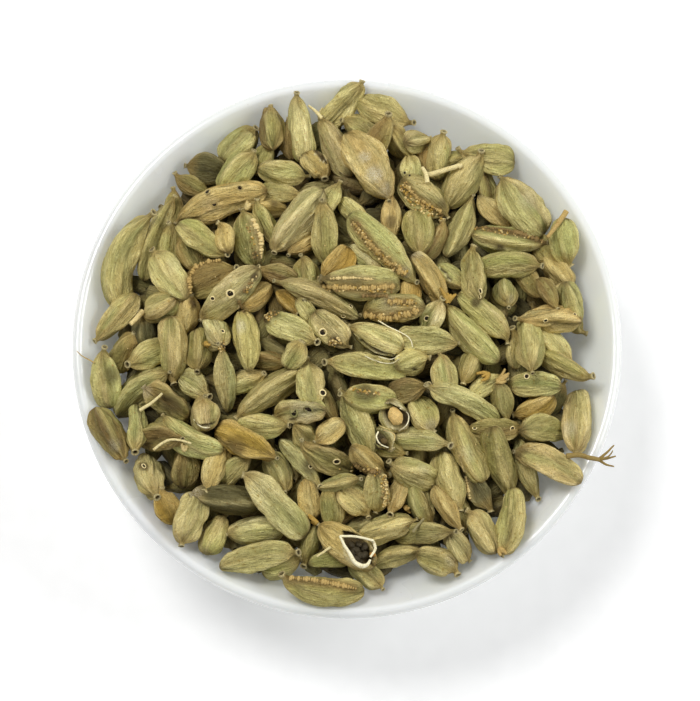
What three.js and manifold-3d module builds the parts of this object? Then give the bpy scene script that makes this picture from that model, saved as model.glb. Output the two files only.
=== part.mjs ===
// A white glazed dish heaped with dried green cardamom pods.
// Millimetres, +Z up. The origin is on the table under the middle of the dish,
// and a person looking at the heap stands at -Y.
import * as THREE from "three";
import { mergeVertices } from "three/addons/utils/BufferGeometryUtils.js";
import Module from "manifold-3d";

// ---- Dish: driving dimensions ----
const RIM_RADIUS = 60; // outside of the lip
const RIM_HEIGHT = 34; // top of the lip
const WALL = 2.6; // thickness of the wall, and so the width of the round lip
const FLOOR_HEIGHT = 5; // inside of the floor at its middle
const FLOOR_THICKNESS = 3.2; // inside the foot ring
const FOOT_RADIUS = 28;
const FOOT_WIDTH = 3.4;
const FOOT_DRAFT = 0.8; // how far the foot ring narrows towards the table
const BOWL_POWER = 2.7; // inside height grows with radius to this power
const TURN_SIDES = 56; // sides of the turned dish
const INSIDE_STEPS = 7;
const OUTSIDE_STEPS = 4;
const RECESS_STEPS = 2;

// ---- Heap: driving dimensions ----
const HEAP_TOP = 43; // height of the pods' upper sides at the middle of the heap
const HEAP_FALL = 10; // how much lower they are at HEAP_REACH from the middle
const HEAP_REACH = 55;
const POD_BED = 5.6; // the bare core lies this far under the pods' upper sides
const CORE_LEAST = 42; // the core's uneven edge follows the outermost pods,
const CORE_MOST = 55; // between these radii
const CORE_GAP = 0.6; // between the core and the dish
const CORE_LIP = 3.4; // thickness of the core's edge
const CORE_CLIMB = 1.1; // rise of its side per millimetre inwards
const CORE_SIDES = 32;
const CORE_STEPS = 3;
const CORE_TOP_SHARES = [1, 0.82, 0.5]; // rings of its top, as shares of its edge
const NEST = 0.74; // pods sink into one another to this share of their radii
const WALL_GAP = 0.8; // between a pod and the dish
const MOST_LIFT = 2.6; // other pods carry a pod's upper side this far over the surface
const STEEPEST = Math.tan(THREE.MathUtils.degToRad(46));

// Where a pod is tested for what carries it: share of its length, share of its radius.
const TOUCH_STATIONS = [
  [-0.36, 0.66],
  [-0.18, 0.94],
  [0, 1],
  [0.18, 0.86],
  [0.36, 0.52],
];
// Where it is kept clear of the dish besides.
const END_STATIONS = [
  [-0.48, 0.3],
  [0.48, 0.35],
];

// ---- A pod's form ----
// Share of the length from the blunt end (-0.5) to the stem (0.5), share of the radius.
const POD_RINGS = [
  [-0.34, 0.72],
  [-0.04, 1],
  [0.3, 0.64],
];
const SHORT_POD_RINGS = [
  [-0.24, 0.92],
  [0.22, 0.86],
];
const SHORT_POD = 1.75; // a pod under this many widths long has the short form
const LOW_POD_NEAREST = 36; // further in, the lowest pods are out of sight
const POD_SIDES = 5;
const LOW_POD_SIDES = 4;
const CORNER = 1.08; // corner radius of a five-sided ring as wide as a round one
const STEM_WIDTH = 1.5; // width of the cut stem that ends a pod
const PROP_WIDTH = 2.4; // what stands for the pods hidden under one at the heap's edge
const PROP_REACH = 8; // it runs this far in from the pod, down into the core
const PROP_SIDES = 3;
const SLIM_POD = 2.6; // under this radius, a pod beyond EDGE_FROM needs a prop as well
const EDGE_FROM = 45.5;

// The pods that show, from the lowest to the uppermost. Each row: middle x and y,
// heading of the stem in degrees from +X, length, width, and bend of the middle to the left.
const LOW_PODS = [
  [-35.8, 36.8, 155, 9, 5.5, 0],
  [-42.3, 23, 68, 19, 4.6, 0.6],
  [-39, 21.2, 83, 10, 5.2, 0],
  [-34.2, 19.5, 115, 9.5, 7, 0],
  [-44.5, 3, 100, 8.5, 6, 0],
  [-35, 5.8, 78, 8.8, 6.2, 0],
  [-48.7, -1.6, 60, 9, 5.6, 0],
  [-17.8, 25.5, 118, 11, 4.6, 0],
  [-9.5, 20.5, 215, 9, 4.6, 0],
  [-15, 13.6, 165, 9.5, 4.8, 0],
  [-20.2, 8.9, 215, 9, 5.2, 0],
  [-12.7, 7.3, -50, 8, 3.8, 0],
  [-8.3, 4.6, -50, 8, 4, 0],
  [4.2, 16.8, -40, 9.5, 5.2, 0],
  [13.6, 9.6, 95, 9.5, 4.6, 0],
  [9.8, 26.8, 90, 11, 5.2, 0],
  [19.4, 21.5, 62, 10, 4.4, 0],
  [22.8, 13.4, -40, 8.5, 4.6, 0],
  [-22.3, -9.6, 12, 9.5, 5.2, 0],
  [-17.5, -5.2, -10, 10, 4.6, 0],
  [-3.8, -15.6, -65, 9, 4.2, 0],
  [-8, -45.2, -105, 9.5, 4.4, 0],
  [-14.2, -48.8, 15, 9, 6.4, 0],
  [-3.2, -48.2, 8, 10.5, 4.4, 0],
  [26.3, -6.6, 250, 8, 5, 0],
  [40.2, 13.2, -58, 10, 5.2, 0],
  [43.8, 10.8, -60, 8.5, 4.6, 0],
  [45.6, -12, 60, 9, 4.6, 0],
  [30.6, -10.3, 30, 9, 4.8, 0],
  [28.7, -33.4, -55, 9.5, 5.2, 0],
  [24.6, -38, -78, 9, 4.4, 0],
  [-23.8, -28.5, 40, 9, 5, 0],
  [-37.5, -18, 20, 9, 5, 0],
  [-3.8, 30.5, 60, 10, 5, 0],
  [1.5, 27.5, -50, 9, 4.6, 0],
  [32.6, 28.4, -42, 10.5, 4.8, 0],
  [33.8, -14, -75, 8.5, 5, 0],
  [36.6, -1.8, 92, 9, 4.4, 0],
  [8.8, -24.4, -20, 9, 4.6, 0],
];
const MIDDLE_PODS = [
  [-31.7, 39.9, 172, 9.5, 6.4, 0],
  [-24, 44.2, 48, 11, 7, 0],
  [-24, 37.8, 48, 11.5, 7, 0],
  [-16.5, 47.8, 92, 11, 6, 0],
  [-0.8, 53.2, 42, 12.5, 5.6, 0],
  [-10.3, 47.4, 98, 14.8, 5.8, 0],
  [9.4, 51.2, -36, 12, 5.6, 0],
  [-2.6, 43, 116, 15.5, 6.2, 0],
  [-13.9, 36.9, -8, 11.8, 6, 0],
  [11.6, 44.6, 130, 7.5, 5, 0],
  [15.7, 44.6, 20, 6.4, 5.2, 0],
  [20.4, 41.2, 82, 9.4, 4.8, 0],
  [30.8, 41.6, -6, 11.2, 6.2, 0],
  [26.2, 36.2, 60, 12.6, 7.2, 0],
  [14, 38.2, 95, 6.8, 5.8, 0],
  [-47.7, 19.5, 68, 21, 7.2, 2.2],
  [-31.6, 22, -36, 13.5, 6.2, 0],
  [-29.3, 13.3, 20, 11.5, 7, 0],
  [-50.6, 6, 231, 14.2, 6.2, 0],
  [-26.7, 22.4, 103, 7.6, 4.8, 0],
  [-21.5, 22.4, 103, 13.2, 7, 0],
  [-4.8, 22.6, 95, 13.8, 5.8, 0],
  [-8.6, 13.9, 108, 8, 5.8, 0],
  [-2.6, 15.6, 232, 10, 5.6, 0],
  [15.5, 22.8, -86, 11.5, 7, 0],
  [18, 12, -60, 13.5, 5.6, 0.4],
  [30, 4.8, -43, 15.5, 6, 0],
  [18.9, 4.9, 62, 7.4, 5.2, 0],
  [17.4, -1.2, -4, 14, 6, 0],
  [35.2, 16.4, 2, 15, 6.2, 0],
  [34.8, 10.2, -80, 7, 5.6, 0],
  [46.6, 15.8, -55, 10.5, 6.6, 0],
  [49.6, 7.8, -65, 11.5, 6, -0.6],
  [45.4, -0.6, -45, 11.5, 5.6, 0],
  [47.2, -4.8, -30, 13.5, 5, 0],
  [39.4, -1.2, -88, 13.5, 6.6, 0],
  [-52.4, -7, 97, 12.8, 6.4, 0],
  [-43.6, -3, 212, 9.4, 6.4, 0],
  [-37.9, -2.2, -89, 14.5, 6.6, 0],
  [-32.3, -2.6, -88, 10, 6.4, 0],
  [-45, -10.8, 32, 13.6, 6, 1.6],
  [-40.5, -21.2, -6, 11, 6.2, 0],
  [-32.9, -10.4, -40, 8.4, 5.4, 0],
  [-26.4, -8.8, 95, 13.4, 4.8, 0],
  [-35.2, -27.6, 91, 8.6, 5.8, 0],
  [-28.4, -28.4, -108, 11.5, 6, 0],
  [-38.8, -35.6, 118, 8.4, 6.2, 0],
  [-26.1, -34.5, 175, 15.5, 6, 0],
  [-28.5, -42, 65, 9.8, 6.2, 0],
  [-7.8, -10.2, 98, 11.5, 6, 0],
  [-8.6, -22, 135, 8.5, 5.8, 0],
  [-15, -29.4, -62, 9.8, 6.2, 0],
  [-8.2, -34.9, 97, 9, 5.4, 0],
  [-3.4, -36.6, 97, 9, 5.4, 0.4],
  [1.6, -35.8, -38, 9, 6.2, 0],
  [-1.6, -31.6, 10, 9.5, 3.9, 0],
  [-20.2, -41.2, 183, 12, 5.4, 0],
  [21, -7.8, 100, 9.6, 6, 0],
  [16.6, -17.2, -60, 9, 6.4, 0],
  [15.9, -22.7, -8, 13, 5.2, 0.5],
  [2.2, -18.6, 115, 16, 6.6, 0],
  [10.8, -34.6, -112, 9, 4.8, 0],
  [22.4, -31.2, -72, 13.6, 6.8, 0],
  [16.2, -36.2, -68, 10.5, 6.2, 0],
  [16.8, -42.4, 2, 13, 5, 0],
  [10.8, -47.4, 15, 12, 4.6, 0.8],
  [4.4, -51.2, -40, 9.5, 5.2, 0],
  [24.3, -44.9, -50, 7.4, 5, 0],
  [21.6, -36.6, -60, 11.5, 4.6, 0],
  [32.4, -19.6, 4, 12.6, 5.4, 0],
  [40.6, -14.4, 205, 9.5, 5, 0.6],
  [43.4, -19.2, 5, 11.6, 6.4, 0],
  [39.2, -27.8, -72, 14, 4.6, 0],
  [33.4, -27, -72, 15.5, 6.6, 0],
  [13.4, -11.6, 5, 8.5, 6.4, 0],
];
const UPPER_PODS = [
  [-27.2, 29.8, 195, 19.8, 6.2, -1],
  [-6.9, 38.6, -50, 7.4, 5.8, 0],
  [5.2, 38.4, -63, 18.5, 7.8, 0],
  [17.2, 31, -36, 13, 7, 0],
  [38.9, 30.7, 128, 16.2, 8, 0],
  [-38.9, 14.8, 122, 14.2, 7.4, 0],
  [-41, 7.6, 207, 8.6, 7, 0],
  [-25.6, 9.4, 217, 16.5, 7, 0],
  [-28.2, 0.6, -70, 7.6, 6.4, 0],
  [-10.7, 25.6, 231, 17.6, 7.8, 0],
  [-6.4, 8.5, 158, 20, 5.4, 0],
  [-21.9, -0.6, 98, 15, 6, 0],
  [-12.1, 1.2, -28, 13.2, 5.8, 0],
  [-3.2, 0.8, -45, 11, 6.2, 0],
  [7.8, 19.2, -47, 21.5, 7, 0],
  [24.9, 25, -113, 15.5, 5.2, 0.6],
  [27.7, 14.4, 97, 13, 5.8, 0.4],
  [2.8, 11.6, 178, 17.5, 7.6, 0],
  [9.8, 5.6, 182, 14, 6, 0],
  [26.8, 1, 131, 17.5, 6.6, 0],
  [6.2, -0.4, 155, 13, 6.6, 0],
  [35.8, 22.7, -7, 17, 6.4, -0.8],
  [47.9, 22.9, -83, 10.8, 6.6, 0],
  [43.8, 5.2, 180, 14.8, 5.8, 0],
  [-39.3, -13.3, 148, 12, 6.2, 0],
  [-45.6, -18.6, -91, 11, 4.8, 0],
  [-51.2, -19.4, -60, 14.2, 6.6, 0],
  [-33.8, -20.9, 148, 15.5, 6, 0],
  [-30.6, -16.2, 95, 7.6, 6.6, 0],
  [-42.4, -29.2, -76, 10.4, 6.6, 0],
  [-33.6, -38.6, -112, 12, 7, 0],
  [-17, -12.5, 215, 17.8, 6.2, 0],
  [-11.3, -4.2, 60, 6.8, 5.6, 0],
  [-10.2, -16.6, 178, 11.5, 5.2, 0],
  [-18, -19.4, -4, 11.5, 5.8, 0],
  [-21.6, -23.2, -28, 15.5, 6.4, 0],
  [-3.9, -20.9, 218, 8, 5.2, 0],
  [-4.6, -26.6, 155, 12.5, 5.4, 0],
  [-10, -27.4, -50, 14, 4.4, 0],
  [-15.6, -36.2, 134, 18.6, 7.4, 0],
  [-18.9, -47.4, 10, 17.4, 6.6, 0],
  [-5.4, -53.6, 172, 18, 6.4, 0],
  [0.6, -44.2, 140, 14, 7.4, 0],
  [4, -7, 172, 18, 5.8, 0],
  [14.2, -5.5, 20, 8, 6.2, 0],
  [4.6, -13.6, 176, 12.5, 6.6, 0],
  [25, -14, 160, 17.4, 5.6, -1.2],
  [10.6, -17.8, -60, 7.6, 6.2, 0],
  [8, -22.4, -50, 6, 4.6, 0],
  [25.8, -23.6, 114, 16.8, 6.8, 0.2],
  [13.9, -29.4, 165, 10.8, 7.2, 0],
  [4.8, -27.4, -35, 9.5, 5, 0],
  [40.2, -9.8, 178, 12.5, 5.8, 0],
  [49.8, -17, -93, 15.2, 6.4, 0],
  [43.4, -26.4, -26, 16.4, 6.6, -0.4],
  [6.2, -33.6, -87, 8.6, 5.6, 0],
  [9, -41.2, 14, 13, 6.6, 0],
  [19.6, -48.2, -20, 10, 6.2, 0],
  [29.2, -41.2, 122, 11.4, 6.4, 0],
  [35, -39.2, -100, 15.4, 6, 0.8],
];

// Loose stalks on top of the pods: both ends' x and y, and the width.
const STALKS = [
  [18, 37.4, 25.4, 39.4, 1.4],
  [44.2, 23.7, 48.6, 29.8, 1.4],
  [-45, -14.8, -40, -11.5, 1.2],
  [49.5, -23.4, 55, -24.6, 1.4],
];
const STALK_SIDES = 5;
const STALK_BITE = 0.8; // how deep a stalk sinks into what carries it

const WHITE_GLAZE = { color: 0xeef0ee, roughness: 0.18, metalness: 0 };
const DRIED_POD = { color: 0xa39a63, roughness: 0.75, metalness: 0 };

const RANDOM_SEED = 20611;

const wasm = await Module();
wasm.setup();

// ---- Solids ----

// A closed three.js geometry as a solid that can be joined or cut.
function solidFrom(geometry) {
  const bare = geometry.clone();
  bare.deleteAttribute("normal");
  bare.deleteAttribute("uv");
  const merged = mergeVertices(bare, 1e-4);
  return new wasm.Manifold(
    new wasm.Mesh({
      numProp: 3,
      vertProperties: new Float32Array(merged.attributes.position.array),
      triVerts: new Uint32Array(merged.index.array),
    }),
  );
}

// A joined solid as a three.js geometry.
function geometryFrom(solid) {
  const mesh = solid.getMesh();
  return new THREE.BufferGeometry()
    .setAttribute("position", new THREE.BufferAttribute(mesh.vertProperties, 3))
    .setIndex(new THREE.BufferAttribute(mesh.triVerts, 1));
}

// A profile of [radius, height] pairs, turned about the upright axis.
function turned(profile, sides) {
  const points = profile.map(([radius, height]) => new THREE.Vector2(radius, height));
  return new THREE.LatheGeometry(points, sides).rotateX(Math.PI / 2);
}

// ---- Dish ----

const LIP = {
  radius: RIM_RADIUS - WALL / 2,
  height: RIM_HEIGHT - WALL / 2,
  round: WALL / 2,
};

// The mouth is where the inner wall runs into the round lip without a crease.
function mouthOfDish() {
  const rounds = 12; // each round brings the lean closer; after a few it stands still
  let lean = Math.PI / 4;
  let radius = LIP.radius;
  let height = LIP.height;
  for (let round = 0; round < rounds; round += 1) {
    radius = LIP.radius - LIP.round * Math.sin(lean);
    height = LIP.height + LIP.round * Math.cos(lean);
    lean = Math.atan((BOWL_POWER * (height - FLOOR_HEIGHT)) / radius);
  }
  return { radius, height, lean };
}
const MOUTH = mouthOfDish();

// Height of the dish's inside at a distance from the middle.
function insideHeight(radius) {
  const share = Math.pow(radius / MOUTH.radius, BOWL_POWER);
  return FLOOR_HEIGHT + (MOUTH.height - FLOOR_HEIGHT) * share;
}

// Lean of the inner wall from level, in radians, at a distance from the middle.
function insideLean(radius) {
  const share = Math.pow(radius / MOUTH.radius, BOWL_POWER - 1);
  return Math.atan(((MOUTH.height - FLOOR_HEIGHT) * BOWL_POWER * share) / MOUTH.radius);
}

// The point a given distance from the inner wall: positive into the dish's hollow.
function besideWall(radius, distance) {
  const lean = insideLean(radius);
  const height = insideHeight(radius);
  return [radius - distance * Math.sin(lean), height + distance * Math.cos(lean)];
}

function dishProfile() {
  const recessRadius = FOOT_RADIUS - FOOT_WIDTH;
  const recess = Array.from({ length: RECESS_STEPS + 1 }, (_, step) => {
    const radius = (recessRadius * step) / RECESS_STEPS;
    return [radius, insideHeight(radius) - FLOOR_THICKNESS];
  });
  const foot = [
    [recessRadius, 0],
    [FOOT_RADIUS - FOOT_DRAFT, 0],
  ];
  const outside = Array.from({ length: OUTSIDE_STEPS }, (_, step) => {
    const share = step / OUTSIDE_STEPS;
    return besideWall(FOOT_RADIUS + (MOUTH.radius - FOOT_RADIUS) * share, -WALL);
  });
  const quarter = Math.PI / 4;
  const lip = [MOUTH.lean - 2 * quarter, 0, quarter, 2 * quarter, MOUTH.lean + 2 * quarter]
    .map((turn) => [
      LIP.radius + LIP.round * Math.cos(turn),
      LIP.height + LIP.round * Math.sin(turn),
    ]);
  const inside = Array.from({ length: INSIDE_STEPS }, (_, step) => {
    const radius = (MOUTH.radius * (INSIDE_STEPS - 1 - step)) / INSIDE_STEPS;
    return [radius, insideHeight(radius)];
  });
  return [...recess, ...foot, ...outside, ...lip, ...inside];
}

// ---- Heap ----

function heapSurface(x, y) {
  return HEAP_TOP - HEAP_FALL * (Math.hypot(x, y) / HEAP_REACH) ** 2;
}

// Lowest height at which a ball of this radius clears the wall of the dish.
function heightOnWall(x, y, radius) {
  const fromMiddle = Math.hypot(x, y);
  const reach = radius + WALL_GAP;
  const steps = 8;
  let height = -Infinity;
  for (let step = -steps; step <= steps; step += 1) {
    const aside = (reach * step) / steps;
    const there = Math.abs(fromMiddle + aside);
    if (there <= MOUTH.radius) {
      const above = Math.sqrt(reach * reach - aside * aside);
      height = Math.max(height, insideHeight(there) + above);
    }
  }
  return height;
}

// A plain seeded draw, which turns each pod about its own length.
const DRAW_FACTOR = 16807;
const DRAW_MODULUS = 2147483647;
let drawn = RANDOM_SEED;
function draw() {
  drawn = (drawn * DRAW_FACTOR) % DRAW_MODULUS;
  return drawn / DRAW_MODULUS;
}

// A point of the pod's bent middle line, at a share of its length from its middle.
function middleLine(pod, share) {
  const along = share * pod.length;
  const aside = pod.bend * (0.5 - 4 * share * share);
  return new THREE.Vector3(
    pod.x + along * pod.ahead.x - aside * pod.ahead.y,
    pod.y + along * pod.ahead.y + aside * pod.ahead.x,
    pod.height + pod.slope * along,
  );
}

// How high a station of the pod must be to lie on the core, the pods below and the wall.
function supportAt(pod, share, fullness, balls) {
  const { x, y } = middleLine(pod, share);
  const radius = pod.radius * fullness;
  let height = heapSurface(x, y) - POD_BED + radius * NEST;
  for (const ball of balls) {
    const reach = (radius + ball.radius) * NEST;
    const aside = (x - ball.x) ** 2 + (y - ball.y) ** 2;
    if (aside < reach * reach) {
      height = Math.max(height, ball.z + Math.sqrt(reach * reach - aside));
    }
  }
  const wall = heightOnWall(x, y, radius);
  const most = heapSurface(x, y) + MOST_LIFT - radius;
  height = Math.max(wall, Math.min(height, most));
  return { along: share * pod.length, wall, height };
}

// The pod comes down until one support on each side of its middle carries it.
function settle(pod, balls) {
  const held = [
    ...TOUCH_STATIONS.map(([share, fullness]) => supportAt(pod, share, fullness, balls)),
    ...END_STATIONS.map(([share, fullness]) => supportAt(pod, share, fullness, [])),
  ];
  let height = -Infinity;
  let slope = 0;
  for (const near of held.filter((support) => support.along <= 0)) {
    for (const far of held.filter((support) => support.along >= 0)) {
      const span = far.along - near.along;
      const climb = span === 0 ? 0 : (far.height - near.height) / span;
      const level = near.height - climb * near.along;
      if (level > height) {
        height = level;
        slope = climb;
        pod.leans = [near, far].every((support) => support.height === support.wall);
      }
    }
  }
  pod.slope = THREE.MathUtils.clamp(slope, -STEEPEST, STEEPEST);
  const clear = held.map((support) => support.wall - pod.slope * support.along);
  pod.height = Math.max(height, ...clear);
}

// Pods laid one after another, each on those before it.
function layPods(rows, balls) {
  return rows.map(([x, y, heading, length, width, bend]) => {
    const turn = THREE.MathUtils.degToRad(heading);
    const pod = { x, y, length, radius: width / 2, bend, height: 0, slope: 0 };
    pod.ahead = new THREE.Vector2(Math.cos(turn), Math.sin(turn));
    pod.roll = draw() * 2 * Math.PI;
    settle(pod, balls);
    for (const [share, fullness] of TOUCH_STATIONS) {
      balls.push({ ...middleLine(pod, share), radius: pod.radius * fullness });
    }
    return pod;
  });
}

// A ring of corners square to the way a pod or stalk runs.
function ringAbout(centre, ahead, sides, radius, roll) {
  const across = new THREE.Vector3(-ahead.y, ahead.x, 0).normalize();
  const upward = new THREE.Vector3().crossVectors(ahead, across);
  return Array.from({ length: sides }, (_, side) => {
    const turn = roll + (2 * Math.PI * side) / sides;
    return centre
      .clone()
      .addScaledVector(across, radius * Math.cos(turn))
      .addScaledVector(upward, radius * Math.sin(turn));
  });
}

// Rings joined by triangles and closed at each end, by a point or by a flat face.
function closedSkin(rings, sides, startPoint, endPoint) {
  const corners = rings.flat();
  const triangles = [];
  for (let ring = 0; ring + 1 < rings.length; ring += 1) {
    for (let side = 0; side < sides; side += 1) {
      const a = ring * sides + side;
      const b = ring * sides + ((side + 1) % sides);
      triangles.push(a, b, a + sides, b, b + sides, a + sides);
    }
  }
  const closeEnd = (first, point, facesBack) => {
    const hub = point ? corners.push(point) - 1 : first;
    for (let side = point ? 0 : 1; side < (point ? sides : sides - 1); side += 1) {
      const a = first + side;
      const b = first + ((side + 1) % sides);
      triangles.push(...(facesBack ? [hub, b, a] : [hub, a, b]));
    }
  };
  closeEnd(0, startPoint, true);
  closeEnd((rings.length - 1) * sides, endPoint, false);
  const geometry = new THREE.BufferGeometry().setFromPoints(corners);
  geometry.setIndex(triangles);
  return geometry;
}

function podRing(pod, [share, fullness], sides) {
  const step = 0.01; // share of the length over which the middle line's course is read
  const ahead = middleLine(pod, share + step).sub(middleLine(pod, share - step)).normalize();
  const radius = pod.radius * fullness * CORNER;
  return ringAbout(middleLine(pod, share), ahead, sides, radius, pod.roll);
}

// A pod runs from a blunt point to a flat cut stem.
function podGeometry(pod) {
  const stem = [0.5, STEM_WIDTH / 2 / pod.radius];
  const body = pod.length < 2 * pod.radius * SHORT_POD ? SHORT_POD_RINGS : POD_RINGS;
  const rings = [...body, stem].map((station) => podRing(pod, station, POD_SIDES));
  return closedSkin(rings, POD_SIDES, middleLine(pod, -0.5));
}

// A pod deep between others shows only its back, so it is pointed at both ends.
function lowPodGeometry(pod) {
  const rings = SHORT_POD_RINGS.map((station) => podRing(pod, station, LOW_POD_SIDES));
  return closedSkin(rings, LOW_POD_SIDES, middleLine(pod, -0.5), middleLine(pod, 0.5));
}

// A pod that leans on the dish, or a slim one at the edge, barely touches the others.
function needsProp(pod) {
  return pod.leans || (pod.radius < SLIM_POD && Math.hypot(pod.x, pod.y) > EDGE_FROM);
}

// A prop runs from the middle of such a pod down into the core.
function propGeometry(pod) {
  const inward = 1 - PROP_REACH / Math.hypot(pod.x, pod.y);
  const start = new THREE.Vector3(pod.x, pod.y, pod.height);
  const end = new THREE.Vector3(pod.x * inward, pod.y * inward, 0);
  end.setZ(heapSurface(end.x, end.y) - POD_BED - PROP_WIDTH);
  const ahead = end.clone().sub(start).normalize();
  const rings = [start, end].map((point) =>
    ringAbout(point, ahead, PROP_SIDES, PROP_WIDTH / 2, 0),
  );
  return closedSkin(rings, PROP_SIDES);
}

// A stalk lies level on the highest pod under it, a little sunk in.
function stalkGeometry([startX, startY, endX, endY, width], balls) {
  const start = new THREE.Vector3(startX, startY, 0);
  const end = new THREE.Vector3(endX, endY, 0);
  const line = new THREE.Line3(start, end);
  const near = new THREE.Vector3();
  let height = 0;
  for (const ball of balls) {
    line.closestPointToPoint(near.set(ball.x, ball.y, 0), true, near);
    const aside = Math.hypot(near.x - ball.x, near.y - ball.y);
    if (aside < ball.radius) {
      height = Math.max(height, ball.z + Math.sqrt(ball.radius ** 2 - aside ** 2));
    }
  }
  const ends = [start, end].map((point) => point.setZ(height + width / 2 - STALK_BITE));
  const ahead = end.clone().sub(start).normalize();
  const rings = ends.map((end) => ringAbout(end, ahead, STALK_SIDES, width / 2, 0));
  return closedSkin(rings, STALK_SIDES);
}

// Radius of the core's edge in one direction: as far as the pods reach there.
function coreEdge(out, balls) {
  const margin = 1; // a pod this close beside the direction still counts
  let edge = CORE_LEAST;
  for (const ball of balls) {
    const aside = Math.abs(ball.x * out.y - ball.y * out.x);
    if (aside < ball.radius + margin) {
      edge = Math.max(edge, ball.x * out.x + ball.y * out.y);
    }
  }
  return Math.min(edge, CORE_MOST);
}

// The core fills the dish under the pods, a little clear of the wall.
function coreGeometry(balls) {
  const spokes = Array.from({ length: CORE_SIDES }, (_, side) => {
    const turn = (2 * Math.PI * side) / CORE_SIDES;
    const out = new THREE.Vector2(Math.cos(turn), Math.sin(turn));
    return { out, edge: coreEdge(out, balls) };
  });
  const ringAt = (placeOn) =>
    spokes.map(({ out, edge }) => {
      const [radius, height] = placeOn(edge);
      return new THREE.Vector3(out.x * radius, out.y * radius, height);
    });
  const under = Array.from({ length: CORE_STEPS }, (_, step) =>
    ringAt((edge) => besideWall((edge * (step + 1)) / CORE_STEPS, CORE_GAP)),
  );
  const top = CORE_TOP_SHARES.map((share) =>
    ringAt((edge) => {
      const [brim, brimHeight] = besideWall(edge, CORE_GAP);
      const radius = brim * share;
      const least = insideHeight(radius) + CORE_GAP + CORE_LIP;
      const side = brimHeight + CORE_LIP + (brim - radius) * CORE_CLIMB;
      return [radius, Math.max(least, Math.min(side, heapSurface(radius, 0) - POD_BED))];
    }),
  );
  const foot = new THREE.Vector3(0, 0, FLOOR_HEIGHT + CORE_GAP);
  const crown = new THREE.Vector3(0, 0, HEAP_TOP - POD_BED);
  return closedSkin([...under, ...top], CORE_SIDES, foot, crown);
}

// Everything that shows is fused on the core.
function heapGeometry() {
  const balls = [];
  const lowPods = layPods(LOW_PODS, balls);
  const pods = [...layPods(MIDDLE_PODS, balls), ...layPods(UPPER_PODS, balls)];
  const pieces = [
    coreGeometry(balls),
    ...lowPods
      .filter((pod) => Math.hypot(pod.x, pod.y) > LOW_POD_NEAREST)
      .map(lowPodGeometry),
    ...pods.map(podGeometry),
    ...pods.filter(needsProp).map(propGeometry),
    ...STALKS.map((stalk) => stalkGeometry(stalk, balls)),
  ];
  const joined = pieces.map(solidFrom).reduce((whole, piece) => whole.add(piece));
  const bodies = joined.decompose().sort((a, b) => b.volume() - a.volume());
  return geometryFrom(bodies[0]);
}

// ---- The object ----

function named(name, geometry, finish) {
  const mesh = new THREE.Mesh(geometry, new THREE.MeshStandardMaterial(finish));
  mesh.name = name;
  return mesh;
}

const filledDish = new THREE.Group();
filledDish.add(named("dish", turned(dishProfile(), TURN_SIDES), WHITE_GLAZE));
filledDish.add(named("cardamom_heap", heapGeometry(), DRIED_POD));

export default filledDish;
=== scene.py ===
# %% [markdown]
# # A dish of dried green cardamom pods
# The real thing is a small white glazed dish, heaped with dried pods. This lesson builds it over
# a solid CAD part that already fixes every size. The CAD part comes in first. Lengths are typed in
# millimetres and become metres only where a mesh is made.

import math
import random

import bmesh
import bpy
import numpy as np
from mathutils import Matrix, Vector
from mathutils.bvhtree import BVHTree


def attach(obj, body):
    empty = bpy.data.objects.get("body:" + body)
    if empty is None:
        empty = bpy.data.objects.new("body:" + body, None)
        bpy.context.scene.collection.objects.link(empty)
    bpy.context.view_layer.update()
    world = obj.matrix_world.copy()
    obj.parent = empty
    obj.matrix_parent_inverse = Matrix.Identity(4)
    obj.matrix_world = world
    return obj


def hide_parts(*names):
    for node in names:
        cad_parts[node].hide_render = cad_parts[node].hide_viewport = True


MM = 0.001
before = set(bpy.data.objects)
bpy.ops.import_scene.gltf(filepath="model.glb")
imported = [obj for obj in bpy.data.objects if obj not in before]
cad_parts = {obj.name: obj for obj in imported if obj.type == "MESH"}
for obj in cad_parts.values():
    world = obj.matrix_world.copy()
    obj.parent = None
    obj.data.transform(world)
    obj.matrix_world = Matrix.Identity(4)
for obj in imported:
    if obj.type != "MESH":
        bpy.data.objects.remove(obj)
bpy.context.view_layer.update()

# %% [markdown]
# ## A way to write node trees as formulas
# A material or a Geometry Nodes tree is easier to follow as arithmetic than as forty lines that
# place and link nodes. A Wire holds one output socket, and adding or multiplying it places the
# node that does so. Vectors and colours go through Vector Math, plain numbers through Math.


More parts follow.
